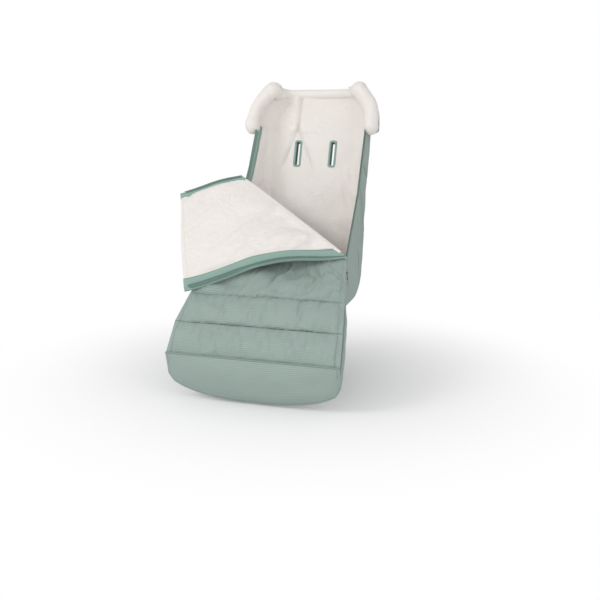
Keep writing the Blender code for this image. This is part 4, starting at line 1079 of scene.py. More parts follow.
def puffed(points, pins):
    """The grid after a cloth simulation: the fabric swells and crumples between what holds it.

    pins are weights, 0 or 1."""
    rows, columns = points.shape[:2]
    mesh = plain_mesh("cloth_work", points.reshape(-1, 3), grid_faces(rows, columns, 0, False))
    cloth = linked("cloth_work", mesh)
    cloth.vertex_groups.new(name="pins").add(np.nonzero(pins.ravel() > 0)[0].tolist(), 1.0, "REPLACE")
    modifier = cloth.modifiers.new("Cloth", "CLOTH")
    for setting, value in CLOTH_SETTINGS.items():
        setattr(modifier.settings, setting, value)
    modifier.settings.effector_weights.gravity = 0.0
    modifier.point_cache.frame_end = CLOTH_FRAMES
    scene = bpy.context.scene
    for step in range(1, CLOTH_FRAMES + 1):
        scene.frame_set(step)
    evaluated = cloth.evaluated_get(bpy.context.evaluated_depsgraph_get())
    moved = np.empty(rows * columns * 3)
    evaluated.data.vertices.foreach_get("co", moved)
    scene.frame_set(1)
    bpy.data.objects.remove(cloth, do_unlink=True)
    bpy.data.meshes.remove(mesh)
    shift = moved.reshape(rows, columns, 3) - points
    length = np.linalg.norm(shift, axis=2, keepdims=True) + TINY
    return points + shift * np.minimum(1.0, CLOTH_CAP / length)


def add_node(tree, kind, inputs, **settings):
    """A shader node; each input is another node's output or a plain value."""
    node = tree.nodes.new("ShaderNode" + kind)
    for setting, value in settings.items():
        setattr(node, setting, value)
    for socket, value in inputs.items():
        if isinstance(value, bpy.types.NodeSocket):
            tree.links.new(value, node.inputs[socket])
        else:
            node.inputs[socket].default_value = value
    return node


def shade(colour, share, more=0.0):
    return tuple(min(c * share + more, 1.0) for c in colour)


class Look:
    """A material being built, with short ways to add its nodes."""

    def __init__(self, name, roughness):
        self.material = bpy.data.materials.new(name)
        self.material.use_nodes = True
        self.tree = self.material.node_tree
        self.shader = self.tree.nodes["Principled BSDF"]
        self.shader.inputs["Roughness"].default_value = roughness

    def math(self, operation, first, *second):
        return add_node(self.tree, "Math", dict(enumerate((first, *second))), operation=operation).outputs[0]

    def times(self, first, second):
        return self.math("MULTIPLY", first, second)

    def plus(self, first, second):
        return self.math("ADD", first, second)

    def total(self, first, *others):
        """A sum of outputs, each of the others with its weight."""
        for value, weight in others:
            first = self.plus(first, self.times(value, weight))
        return first

    def noise(self, place, scale, detail=2.0, roughness=0.5):
        inputs = {"Vector": place, "Scale": scale, "Detail": detail, "Roughness": roughness}
        return add_node(self.tree, "TexNoise", inputs).outputs["Fac"]

    def stripes(self, place, pitch, shift=None):
        """A smooth wave from 0 to 1 across a place in metres."""
        turns = self.times(place, 2.0 * math.pi / pitch)
        if shift is not None:
            turns = self.plus(turns, shift)
        return self.plus(self.times(self.math("SINE", turns), 0.5), 0.5)

    def mix(self, share, low, high):
        node = add_node(self.tree, "Mix", {0: share}, data_type="RGBA", clamp_factor=True)
        sockets = [socket for socket in node.inputs if socket.type == "RGBA"]
        for socket, value in zip(sockets, (low, high)):
            if isinstance(value, tuple):
                socket.default_value = (*value, 1.0)
            else:
                self.tree.links.new(value, socket)
        return [socket for socket in node.outputs if socket.type == "RGBA"][0]

    def place(self):
        return self.tree.nodes.new("ShaderNodeNewGeometry").outputs["Position"]

    def axes(self, vector):
        return add_node(self.tree, "SeparateXYZ", {"Vector": vector}).outputs

    def weave(self):
        """The weave's own coordinates in metres: across, along and both as a vector."""
        uv = add_node(self.tree, "UVMap", {}, uv_map="cloth").outputs["UV"]
        return (*self.axes(uv)[:2], uv)

    # The seam attribute: darkening painted along seam lines, where it stands for the thread line and the
    # shade in the groove, and along creases, where it is painted shade alone.
    def seam(self):
        return add_node(self.tree, "Attribute", {}, attribute_name="seam").outputs["Fac"]

    def done(self, colour, height, depth, values=()):
        """Joins colour and bump to the shader, and sets plain values such as sheen."""
        bump = add_node(self.tree, "Bump", {"Height": height, "Distance": depth, "Strength": 1.0})
        self.tree.links.new(colour, self.shader.inputs["Base Color"])
        self.tree.links.new(bump.outputs["Normal"], self.shader.inputs["Normal"])
        for name, value in values:
            self.shader.inputs[name].default_value = value
        return self.material


RIB_PITCH = 0.0042
RIB_DEPTH = 0.00022
THREAD_PITCH = 0.0009
RIB_DRIFT = (45.0, 3.0)
RIB_DRIFT_TURN = 2.4
RIB_SLUBS = (700.0, 2.0)
RIB_CLOUD = (14.0, 3.0)
SLUB_START = 0.35
CLOUD_START = 0.4
PLAIN_DEPTH = 0.00016
PLAIN_SLUBS = (500.0, 2.0)
PLAIN_CLOUD = (20.0, 3.0)
PILE_NOISE = (900.0, 3.0, 0.7)
PILE_TUFTS = (150.0, 4.0, 0.65)
PILE_CLOUD = (18.0, 2.0)
PILE_DEPTH = 0.0022
COAT_WEAR = (900.0, 3.0)
COAT_DEPTH = 0.00003
BAND_DEPTH = 0.0003
GRIP_PITCH = 0.004
GRIP_DEPTH = 0.0006


def rib_fabric(name, light, dark, seam_and_shade_colour):
    """Plain woven fabric with fine ribs across the piece, darkened along seams: a thread line with painted
    shade.
    """
    look = Look(name, 0.88)
    across, along, both = look.weave()
    ribs = look.stripes(along, RIB_PITCH, look.times(look.noise(both, *RIB_DRIFT), RIB_DRIFT_TURN))
    fine = look.stripes(along, RIB_PITCH / 3.0)
    threads = look.stripes(across, THREAD_PITCH)
    slubs = look.noise(both, *RIB_SLUBS)
    cloud = look.noise(both, *RIB_CLOUD)
    base = look.mix(ribs, dark, light)
    base = look.mix(look.times(look.plus(slubs, -SLUB_START), 0.5), base, shade(light, 1.18))
    base = look.mix(look.times(look.plus(cloud, -CLOUD_START), 0.5), base, shade(dark, 0.86))
    # Painted shade and seam line: the seam attribute darkens the weave towards the seam colour.
    base = look.mix(look.seam(), base, seam_and_shade_colour)
    height = look.total(ribs, (fine, 0.35), (threads, 0.25), (slubs, 0.5))
    return look.done(base, height, RIB_DEPTH, (("Sheen Weight", 0.12), ("Sheen Roughness", 0.45)))


def plain_fabric(name, light, dark, pitch=0.0011):
    look = Look(name, 0.82)
    across, along, both = look.weave()
    weft, warp = look.stripes(along, pitch), look.stripes(across, pitch)
    share = look.total(look.times(look.plus(weft, warp), 0.3), (look.noise(both, *PLAIN_CLOUD), 0.4))
    # Seam lines darkened by the seam attribute: thread line with painted shade.
    base = look.mix(look.seam(), look.mix(share, dark, light), shade(dark, 0.62))
    height = look.total(look.times(weft, warp), (look.noise(both, *PLAIN_SLUBS), 0.5))
    return look.done(base, height, PLAIN_DEPTH)


def fleece_material(name, light, warm):
    """Short soft pile: a fine tufted bump, a little darker colour painted along creases and seam lines as
    their shade, and sheen.
    """
    look = Look(name, 0.95)
    place = look.place()
    clumps = look.noise(place, *PILE_TUFTS)
    share = look.total(look.times(clumps, 0.55), (look.noise(place, *PILE_CLOUD), 0.35))
    # Painted shade: the seam attribute darkens the pile towards a deeper warm colour along creases and seam
    # lines.
    base = look.mix(look.times(look.seam(), 0.7), look.mix(share, light, warm), shade(warm, 0.78))
    height = look.total(clumps, (look.noise(place, *PILE_NOISE), 0.5))
    return look.done(base, height, PILE_DEPTH, (("Sheen Weight", 0.25), ("Sheen Roughness", 0.6)))


def coated_metal(name, colour, roughness):
    look = Look(name, roughness)
    worn = look.noise(look.place(), *COAT_WEAR)
    base = look.mix(look.times(worn, 0.4), colour, shade(colour, 2.2, 0.01))
    return look.done(base, worn, COAT_DEPTH, (("Coat Weight", 0.3), ("Coat Roughness", 0.25)))


def woven_band(name, colour, pitch=0.0016):
    """Webbing: chevron ribs from the place in the world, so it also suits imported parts."""
    look = Look(name, 0.8)
    x, _, z = look.axes(look.place())
    ribs = [look.stripes(look.math(way, x, z), pitch) for way in ("ADD", "SUBTRACT")]
    height = look.times(*ribs)
    return look.done(look.mix(height, shade(colour, 0.7), shade(colour, 1.5, 0.01)), height, BAND_DEPTH)


def grip_material(name, colour):
    """Rubberised mesh: a net of raised dots."""
    look = Look(name, 0.7)
    x, y, _ = look.axes(look.place())
    dots = look.times(look.stripes(x, GRIP_PITCH), look.stripes(y, GRIP_PITCH))
    return look.done(look.mix(dots, shade(colour, 0.6), shade(colour, 1.6)), dots, GRIP_DEPTH)


SAGE_LIGHT = (0.325, 0.402, 0.370)
SAGE_DARK = (0.250, 0.320, 0.291)
# Dark sage painted along seams: the thread line together with painted shade in the seam's groove.
SAGE_SEAM_AND_SHADE = (0.105, 0.165, 0.145)
BAND_LIGHT = (0.305, 0.440, 0.392)
BAND_DARK = (0.235, 0.360, 0.315)
TAPE_LIGHT = (0.255, 0.385, 0.340)
TAPE_DARK = (0.185, 0.300, 0.262)
FLEECE_LIGHT = (0.900, 0.862, 0.830)
FLEECE_WARM = (0.800, 0.742, 0.695)

SHELL_LOOK = rib_fabric("sage_rib", SAGE_LIGHT, SAGE_DARK, SAGE_SEAM_AND_SHADE)
BAND_LOOK = plain_fabric("sage_facing", BAND_LIGHT, BAND_DARK)
TAPE_LOOK = plain_fabric("zip_tape", TAPE_LIGHT, TAPE_DARK, 0.0008)
FLEECE_LOOK = fleece_material("cream_fleece", FLEECE_LIGHT, FLEECE_WARM)
COIL_LOOK = coated_metal("zip_coil", (0.10, 0.155, 0.135), 0.5)
THREAD_LOOK = coated_metal("thread", (0.13, 0.20, 0.175), 0.8)
PALE_THREAD_LOOK = coated_metal("pale_thread", (0.62, 0.58, 0.54), 0.9)
METAL_LOOK = coated_metal("black_lacquer", (0.018, 0.018, 0.020), 0.35)
CORD_LOOK = woven_band("grey_braid", (0.46, 0.47, 0.47), 0.0012)
WEBBING_LOOK = woven_band("black_webbing", (0.040, 0.040, 0.044))
BINDING_LOOK = woven_band("slot_edging", (0.150, 0.235, 0.206), 0.0013)
GRIP_LOOK = grip_material("grip_net", (0.075, 0.082, 0.082))


def settle(piece, body, nodes=()):
    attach(piece, body)
    if nodes:
        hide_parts(*nodes)


def stitched(name, paths, material, body):
    """Rows of stitches that lie on the fabric: paths are (points, normals) arrays along a seam."""
    vertices, faces = [], []
    for points, normals in paths:
        run = run_along(points)
        for middle in (np.arange(int(run[-1] / STITCH_PITCH)) + 0.5) * STITCH_PITCH:
            places = middle + np.array((-0.5, 0.0, 0.5)) * STITCH_LENGTH
            first, centre, last = read_at(points, run, places)
            up = unit(read_at(normals, run, [middle])[0]) * STITCH_RADIUS
            side = np.cross(unit(last - first), up)
            start = len(vertices)
            vertices.append(first)
            for k in range(STITCH_SIDES):
                turn = 2 * math.pi * k / STITCH_SIDES
                vertices.append(centre + up * (STITCH_SINK_share + math.cos(turn)) + side * math.sin(turn))
            vertices.append(last)
            for k in range(STITCH_SIDES):
                low, high = start + 1 + k, start + 1 + (k + 1) % STITCH_SIDES
                faces += [(start, high, low), (start + 1 + STITCH_SIDES, low, high)]
    settle(new_piece(name, vertices, faces, material), body)


def fold_turn():
    """Takes a point of the closed flap to where it lies at rest."""
    right = cover_edge(RIGHT_FOLD_STATION, 1)
    left = cover_edge(LEFT_FOLD_STATION, -1)
    along = (left - right).normalized()
    side = along.cross(Vector((0.0, 0.0, 1.0))).normalized()
    closed = axes_matrix(right, along, side, along.cross(side))
    rest = closed @ Matrix.Rotation(-math.radians(FLAP_OPEN_DEG), 4, "X")
    return rest @ closed.inverted(), right, left


FLAP_TURN, FOLD_RIGHT, FOLD_LEFT = fold_turn()
FLAP_TURN_ARRAY = np.array(FLAP_TURN)

# Where the flap's edges flex a little: u and v, reach, and how far
CORNER_FLEX = (
    ((1.0, 0.42), 0.085, (0.0000, 0.0040, 0.0105)),
    ((0.0, 0.55), 0.060, (0.0000, 0.0020, 0.0050)),
    ((0.0, 1.00), 0.110, (0.0100, 0.0034, -0.0010)),
    ((1.0, 1.00), 0.130, (0.0020, -0.0080, -0.0160)),
)


def turned_way(vectors):
    return vectors @ FLAP_TURN_ARRAY[:3, :3].T


def turned(points):
    """Points of the closed flap, as an array, where they lie at rest, with its edges a little flexed."""
    points = turned_way(points) + FLAP_TURN_ARRAY[:3, 3]
    for place, reach, shift in CORNER_FLEX:
        centre = np.array(tuple(FLAP_TURN @ flap_point(*place)))
        away = np.linalg.norm(points - centre, axis=-1, keepdims=True) / reach
        points = points + np.exp(-(away**2)) * np.array(shift)
    return points


def seam_dent(run, seams, depth, width):
    """Groove along seams at places of the same measure as run."""
    return np.max([depth * bell(run, seam, width) for seam in seams], axis=0)


def puckers(run, across, seams, seed):
    """Small folds that stand square to each seam and die away from it."""
    folds = np.zeros_like(run)
    for index, seam in enumerate(seams):
        away = np.abs(run - seam)
        wave = 0.0
        for height, wide, long, move, slide, more in PUCKER_FOLDS:
            x, y = across / wide + move * index, (run - seam) / long + slide * index
            wave = wave + height * noise(x, y, seed + more + index)
        folds += PUCKER * wave * np.exp(-away / PUCKER_REACH) * (1.0 - bell(away, 0.0, PUCKER_START))
    return folds


def lowest_near(values, reach):
    """The lowest of the values round each one, so that a coarser sheet stays below them."""
    padded = np.pad(values, reach, mode="edge")
    rows, columns = values.shape
    moves = [(i, j) for i in range(2 * reach + 1) for j in range(2 * reach + 1)]
    return np.min([padded[i : i + rows, j : j + columns] for i, j in moves], axis=0)


def cover_gathers(grid_u, grid_v, across):
    """Folds that fan out from under the band of the opened flap, deepest near the hinge's right end."""
    edge = np.maximum(BAND_LINE[0] + BAND_LINE[1] * grid_u, BAND_LINE_FLAT[0] + BAND_LINE_FLAT[1] * grid_u)
    below = (edge - grid_v) * BAND_LINE_REACH
    visible = np.maximum(below, 0.0)
    fan = (across - GATHER_CENTRE) * GATHER_FAN / (visible + GATHER_FAN)
    fold = GATHER_TOP_share - np.abs(waves(fan, visible, GATHER_RIDGES)) + waves(fan, visible, GATHER_FINE)
    fold = np.minimum(fold, GATHER_TOP_share) + GATHER_RAISE_share
    fade = np.where(below > 0, np.exp(-below / GATHER_FADES[0]), np.exp(below / GATHER_FADES[1]))
    rise, stop, start = [ramp(across, low, high) for low, high in GATHER_SPREAD]
    place = mix(GATHER_LEAST_share, 1.0, rise) * (1.0 - stop)
    return GATHER * fold * fade * place * start


def build_cover():
    seams = (SEAM_B_share, SEAM_A_share)
    end = lower_rows()[-1]
    (columns, rows), (fine_columns, fine_rows) = COVER_PLACES, COVER_FINE_PLACES
    grid = Grid(
        spread(0.0, 1.0, columns),
        with_rows_near(spread(0.0, end, rows), seams, SEAM_ROW_STEPS),
        spread(0.0, 1.0, fine_columns),
        with_rows_near(spread(0.0, end, fine_rows), seams, FINE_SEAM_ROW_STEPS),
    )
    base = grid.points(cover_point)
    normal = normals_of(base, COVER_OUTWARD)
    grid_u, grid_v = np.meshgrid(grid.fine_us, grid.fine_vs)
    crown, inner = grid.numbers(channel_crown), grid.numbers(cover_inner_face)
    across, along = arc_lengths(base)
    seam_runs = [np.interp(seam, grid.fine_vs, along[:, 0]) for seam in seams]
    pins = np.zeros_like(crown)
    pins[:, :2] = pins[:, -2:] = 1.0
    pins[:2, :] = pins[-2:, :] = 1.0
    for seam in seams:
        pins[np.abs(grid.fine_vs - seam) < PINNED_share, :] = 1.0
    swollen = puffed(lifted(base, normal, crown * CLOTH_START_share), pins)
    lift = ((swollen - base) * normal).sum(axis=2)
    moved = lifted(swollen, normal, -lift)
    folds = puckers(along, across, [0.0, *seam_runs], 21) + cover_gathers(grid_u, grid_v, across)
    edge = faded(np.minimum(grid_u, 1.0 - grid_u), EDGE_share)
    side_run = from_sides(across)
    dent = seam_dent(along, seam_runs, PINCH, PINCH_WIDTH) + seam_dent(along, seam_runs, PINCH, VALLEY_WIDTH)
    lift = lift + (folds + waves(across, along, COVER_WAVES)) * edge - dent
    lift = lift - SIDE_DENT[0] * bell(side_run, SIDE_SEAM_INSET, SIDE_DENT[1])
    lift = np.maximum(lift, LEAST_COVER - inner)
    outer = lifted(moved, normal, lift)
    under_lift = np.minimum(-(SHELL + COVER_EDGE_WADDING), lift - LEAST_PADDING)
    # Painted shade and seam line: the cover darkens along its seams and side seams, where the grooves are.
    tint = SEAM_LINE_AND_SHADE_TINT[0] * seam_dent(along, seam_runs, 1.0, SEAM_LINE_AND_SHADE_TINT[1])
    tint = np.clip(tint + SIDE_TINT[0] * bell(side_run, SIDE_SEAM_INSET, SIDE_TINT[1]), 0, 1)
    fabric = closed_sheet("cover_fabric", outer, lifted(base, normal, under_lift), SHELL_LOOK, tint)
    settle(fabric, "bag", ("cover_shell", "cover_wadding"))

    fuzz = tufts(across, along, *COVER_PILE)
    top_lift = np.maximum(lowest_near(under_lift, LOWEST_REACH) - 2 * CLEARANCE, LEAST_PADDING / 2 - inner)
    kept = (slice(5, -2, 2), slice(2, -2, 2))
    top, low = lifted(base, normal, top_lift)[kept], lifted(base, normal, -(inner + fuzz * edge))[kept]
    fleece = closed_sheet("cover_fleece", top, low, FLEECE_LOOK)
    settle(fleece, "bag", ("cover_lining",))

    paths = []
    for seam_run in seam_runs:
        row = int(np.argmin(np.abs(along[:, 0] - seam_run - STITCH_OFFSET)))
        paths.append((outer[row, 3:-3], normal[row, 3:-3]))
    last = fine_columns - 1
    column = int(round(last * SIDE_SEAM_INSET / (across[0, -1] - across[0, 0])))
    for side_column in (column, last - column):
        paths.append((outer[2:-2, side_column], normal[2:-2, side_column]))
    stitched("cover_stitches", paths, THREAD_LOOK, "bag")


def flap_waves(across, along):
    """Soft diagonal folds of the flap's fleece, deepest near the right end of the fold."""
    cosine, sine = FLAP_DIAGONAL
    slanted, straight = across * cosine - along * sine, along * cosine + across * sine
    near = np.exp(-along / FLAP_NEAR) * ramp(across, *FLAP_NEAR_SPREAD)
    ridge = 1.0 - 2.0 * np.abs(waves(slanted, straight, FLAP_RIDGES))
    wrinkles = FLAP_RIDGE_HEIGHT * ridge * (FLAP_RIDGE_LEAST_share + near)
    wrinkles = wrinkles + FLAP_WRINKLE_HEIGHT * waves(slanted, straight, FLAP_WRINKLES) * near
    pile = waves(across, along, FLAP_BROAD) + FOLD_PILE * bell(along, 0.0, FOLD_PILE_REACH)
    return wrinkles * ramp(along, *FLAP_WAVE_START) + pile


def build_flap_pieces():
    low, high = flap_rows()[0], flap_rows()[-1]
    (columns, rows), (fine_columns, fine_rows) = FLAP_PLACES, COVER_FINE_PLACES
    grid = Grid(
        spread(0.0, 1.0, columns),
        spread(low, high, rows),
        spread(0.0, 1.0, fine_columns),
        spread(low, high, fine_rows),
    )
    base = grid.points(flap_point)
    normal = normals_of(base, COVER_OUTWARD)
    crown, inner = grid.numbers(flap_crown), grid.numbers(flap_inner_face)
    across, along = arc_lengths(base)
    hem_run, side_run = along[-1, 0] - along, from_sides(across)
    grid_u = grid.fine_us[None, :]
    calm = faded(np.minimum(grid_u, 1.0 - grid_u), EDGE_share)
    calm = calm * faded(np.minimum(along, hem_run), FLAP_END_FADE)
    seam_places = ((side_run, SIDE_SEAM_INSET), (hem_run, HEM_SEAM_INSET))
    # Painted shade and seam line along the flap's side and hem seams.
    tint = sum(FLAP_SEAM_AND_SHADE_TINT[0] * bell(run, at, FLAP_SEAM_AND_SHADE_TINT[1]) for run, at in seam_places)
    dent = sum(FLAP_SEAM_DENT[0] * bell(run, at, FLAP_SEAM_DENT[1]) for run, at in seam_places)
    outer = turned(lifted(base, normal, crown + waves(across, along, FLAP_WAVES) * calm - dent))
    under = turned(base - normal * (SHELL + COVER_EDGE_WADDING))
    fabric = closed_sheet("flap_fabric", outer, under, SHELL_LOOK, np.clip(tint, 0, 1))
    settle(fabric, "flap", ("flap_shell", "flap_wadding"))

    band_run = BAND_WIDTH * BAND_SPREAD
    left_run, right_run = across - across[:, :1], across[:, -1:] - across
    inside = faded(np.minimum(left_run - LEFT_SLIVER, right_run - band_run), FLAP_LINING_FADE)
    plush_fade, wave_fade = [faded(hem_run, reach) for reach in FLAP_HEM_FADES]
    face = inner + FLAP_PILE * inside**0.5 * plush_fade**0.5 + flap_waves(across, along) * inside * wave_fade
    face = face + tufts(across, along, *FLAP_PILE_TUFTS) * inside
    face = face - FLAP_HEM_DENT[0] * bell(hem_run, HEM_SEAM_INSET, FLAP_HEM_DENT[1]) * inside
    middle = across[fine_rows // 2]
    first = int(np.argmax(middle - middle[0] > LEFT_SLIVER))
    last = int(np.argmax(middle[-1] - middle < band_run - BAND_OVERLAP))
    kept = slice(first, last + 1)
    top = turned(base - normal * face[..., None])[:, kept]
    ground = turned(base - normal * (SHELL + COVER_EDGE_WADDING + 2 * CLEARANCE))[:, kept]
    # Painted shade and seam line along the fleece's hem seam, over its dent.
    hem_tint = FLAP_HEM_TINT[0] * bell(hem_run, HEM_SEAM_INSET, FLAP_HEM_TINT[1])
    fleece = closed_sheet("flap_fleece", top, ground, FLEECE_LOOK, hem_tint[:, kept])
    settle(fleece, "flap", ("flap_lining",))

    bands = np.array([band_share(v) for v in grid.fine_vs])
    for word, side, width, seed in (("right", 1, BAND_SPREAD, 91), ("left", -1, 1.0, 92)):
        build_band(word, side, bands * (width + BAND_TUCK), grid, base, normal, inner, along, seed)
    row = int(np.argmin(np.abs(hem_run[:, 0] - HEM_SEAM_INSET)))
    ways = turned_way(normal[row])
    stitched("flap_hem_stitches", [(top[row], -ways[kept])], PALE_THREAD_LOOK, "flap")
    stitched("flap_edge_stitches", [(outer[row, 3:-3], ways[3:-3])], THREAD_LOOK, "flap")


def build_band(word, side, widths, grid, base, normal, inner, along, seed):
    """The facing along one side of the flap's underside."""
    shares = np.array(spread(0.0, 1.0, 13))
    edge_u = 1.0 if side > 0 else 0.0
    places = edge_u - side * shares * widths[:, None]
    points, normals = [
        np.array([read_at(values[row], grid.fine_us, at) for row, at in enumerate(places)])
        for values in (base, normal)
    ]
    depth = np.array([np.interp(at, grid.fine_us, inner[row]) for row, at in enumerate(places)])
    place = shares[None, :] * BAND_WIDTH
    height, wide, long = BAND_RIPPLE
    ripple = height * noise(along[:, :1] / wide, place / long, seed) * np.sin(np.pi * shares)[None, :]
    dent_width, tint_width = BAND_STITCH_WIDTHS
    dent = sum(dip * bell(place, at, dent_width) for at, dip, _ in BAND_STITCHES)
    # Painted shade and seam line along the stitch dents.
    tint = np.clip(sum(dark * bell(place, at, tint_width) for at, _, dark in BAND_STITCHES), 0, 1)
    swell = BAND_SWELL * np.sin(np.pi * shares) ** BAND_SWELL_POWER
    upper = turned(points - normals * (depth + BAND_RAISE + swell[None, :] + ripple - dent)[..., None])
    lower = turned(points - normals * (depth - COVER_EDGE_FLEECE + BAND_SINK)[..., None])
    piece = closed_sheet("flap_facing_" + word, upper, lower, BAND_LOOK, np.repeat(tint, len(places), axis=0))
    settle(piece, "flap", ("flap_band_" + word,))
    columns = [int(np.argmin(np.abs(shares - share))) for share in BAND_STITCH_shares]
    paths = [(upper[:, column], turned_way(-normals[:, column])) for column in columns]
    stitched("flap_facing_stitches_" + word, paths, THREAD_LOOK, "flap")


def fold_rings(share, axis, end, start):
    """Points round the fold at one place along it: its outer face and its core."""
    u = 1.0 - share
    cover_low = cover_offset(u, end, -cover_inner_face(u, end))
    flap_low = FLAP_TURN @ flap_offset(u, start, -flap_inner_face(u, start))
    centre = FOLD_RIGHT + axis * (cover_low - FOLD_RIGHT).dot(axis)
    first, last = [spoke - axis * spoke.dot(axis) for spoke in (cover_low - centre, flap_low - centre)]
    angle = first.angle(last)
    turn_axis = first.cross(last).normalized()
    if (Matrix.Rotation(angle / 2, 3, turn_axis) @ first).dot(FOLD_OUTSIDE) < 0:
        angle = angle - 2 * math.pi
    plump = FOLD_PLUMP * min(share, 1.0 - share, FOLD_PLUMP_END_share) / FOLD_PLUMP_END_share
    outside, core = [], []
    for step in range(FOLD_TURNS):
        part = step / (FOLD_TURNS - 1)
        way = (Matrix.Rotation(angle * part, 3, turn_axis) @ first).normalized()
        reach = mix(first.length, last.length, part)
        reach += plump * math.sin(math.pi * min(part, FOLD_PLUMP_TOP_share)) ** FOLD_PLUMP_POWER
        outside.append(tuple(centre + way * reach))
        core.append(tuple(centre + way * max(reach * FOLD_CORE_share, FOLD_CORE_LEAST)))
    return outside, core


def build_fold_roll():
    """The padded fold: fleece outside, fabric inside the crease."""
    axis = (FOLD_LEFT - FOLD_RIGHT).normalized()
    end, start = lower_rows()[-1], flap_rows()[0]
    rings = [fold_rings(share, axis, end, start) for share in spread(0.0, 1.0, FOLD_COUNT)]
    outer, inner = np.array(rings).swapaxes(0, 1)
    middle = inner + (outer - inner) * FOLD_FABRIC_share
    last_columns = -FOLD_FACING_COLUMNS // 2
    right = slice(0, FOLD_FACING_COLUMNS + 1)
    between_bands = slice(FOLD_FACING_COLUMNS, last_columns)
    left = slice(last_columns - 1, None)
    sheets = (
        ("fold_fleece", outer[between_bands], middle[between_bands], FLEECE_LOOK, "lining_fleece"),
        ("fold_facing_right", outer[right], middle[right], BAND_LOOK, "facing_fabric"),
        ("fold_facing_left", outer[left], middle[left], BAND_LOOK, "facing_fabric"),
        ("fold_fabric", middle, inner, SHELL_LOOK, "shell_fabric"),
    )
    centre = FOLD_RIGHT + axis * (cover_offset(0.5, end, 0.0) - FOLD_RIGHT).dot(axis)
    across = Vector((outer[FOLD_COUNT // 2, -1] - outer[FOLD_COUNT // 2, 0]).tolist())
    across = (across - axis * across.dot(axis)) * FOLD_BLEND_share
    for name, top, low, look, slot in sheets:
        piece = closed_sheet(name, top, low, look)
        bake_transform(piece)


def build_toe_pieces():
    _, up, _, _ = wing(0.0)
    forward = np.array((0.0, -up.y, up.x))
    grid = Grid(spread(-1.0, 1.0, 41), spread(0.0, 1.0, 15), spread(-1.0, 1.0, 161), spread(0.0, 1.0, 71))
    fine_us, fine_vs = grid.fine_us, grid.fine_vs
    base, swell = grid.points(toe_point), grid.numbers(toe_swell)
    across, along = arc_lengths(base)
    relief = puckers(along, across, [along[-1, 0]], 61) * TOE_PUCKER_share + waves(across, along, TOE_WAVES)
    side_share, end_share = TOE_EDGE_shares
    edge = faded(1.0 - np.abs(fine_us), side_share)[None, :]
    edge = edge * faded(np.minimum(fine_vs, 1 - fine_vs), end_share)[:, None]
    fleece, wadding = COVER_EDGE_FLEECE, COVER_EDGE_WADDING
    front = 3 * CLEARANCE + fleece + wadding + SHELL + swell + relief * edge
    edge_gap = np.minimum(from_sides(across), along)
    # Painted shade and seam line near the toe's edges.
    strength, at, width = TOE_TINT
    outer = lifted(base, forward, front)
    under = lifted(base, forward, CLEARANCE + (CLEARANCE + fleece) * faded(edge_gap, TOE_TUCK))
    piece = closed_sheet("toe_fabric", outer, under, SHELL_LOOK, strength * bell(edge_gap, at, width))
    settle(piece, "bag", ("toe_shell", "toe_wadding"))
    near = base + forward * (CLEARANCE + fleece)
    back = lifted(base + forward * CLEARANCE, forward, tufts(across, along, *TOE_PILE))
    kept = (slice(4, -5, 2), slice(2, -2, 2))
    lining = closed_sheet("toe_fleece", near[kept], back[kept], FLEECE_LOOK)
    settle(lining, "bag", ("toe_lining",))
    build_piping(outer[-1] * (1.0 - SEAM_DROP_share) + under[-1] * SEAM_DROP_share)


def build_piping(points):
    """A thin cord of fabric along the toe's seam."""
    tangent = unit(np.gradient(points, axis=0))
    side = unit(np.cross(tangent, np.array(PIPING_SIDEWAYS))) * PIPING_RADIUS
    up = np.cross(side, tangent)
    turns = np.linspace(0.0, 2.0 * math.pi, PIPING_SIDES + 1)[:-1]
    rings = np.stack([points + side * math.cos(turn) + up * math.sin(turn) for turn in turns], axis=1)
    run = np.repeat(run_along(points), PIPING_SIDES)
    uv = np.stack([run, np.tile(turns * PIPING_RADIUS, len(points))], axis=1)
    faces = ring_faces(len(points), PIPING_SIDES, flip=True)
    piece = new_piece("toe_seam_piping", rings.reshape(-1, 3), faces, SHELL_LOOK, uv, PIPING_TINT)
    settle(piece, "bag")


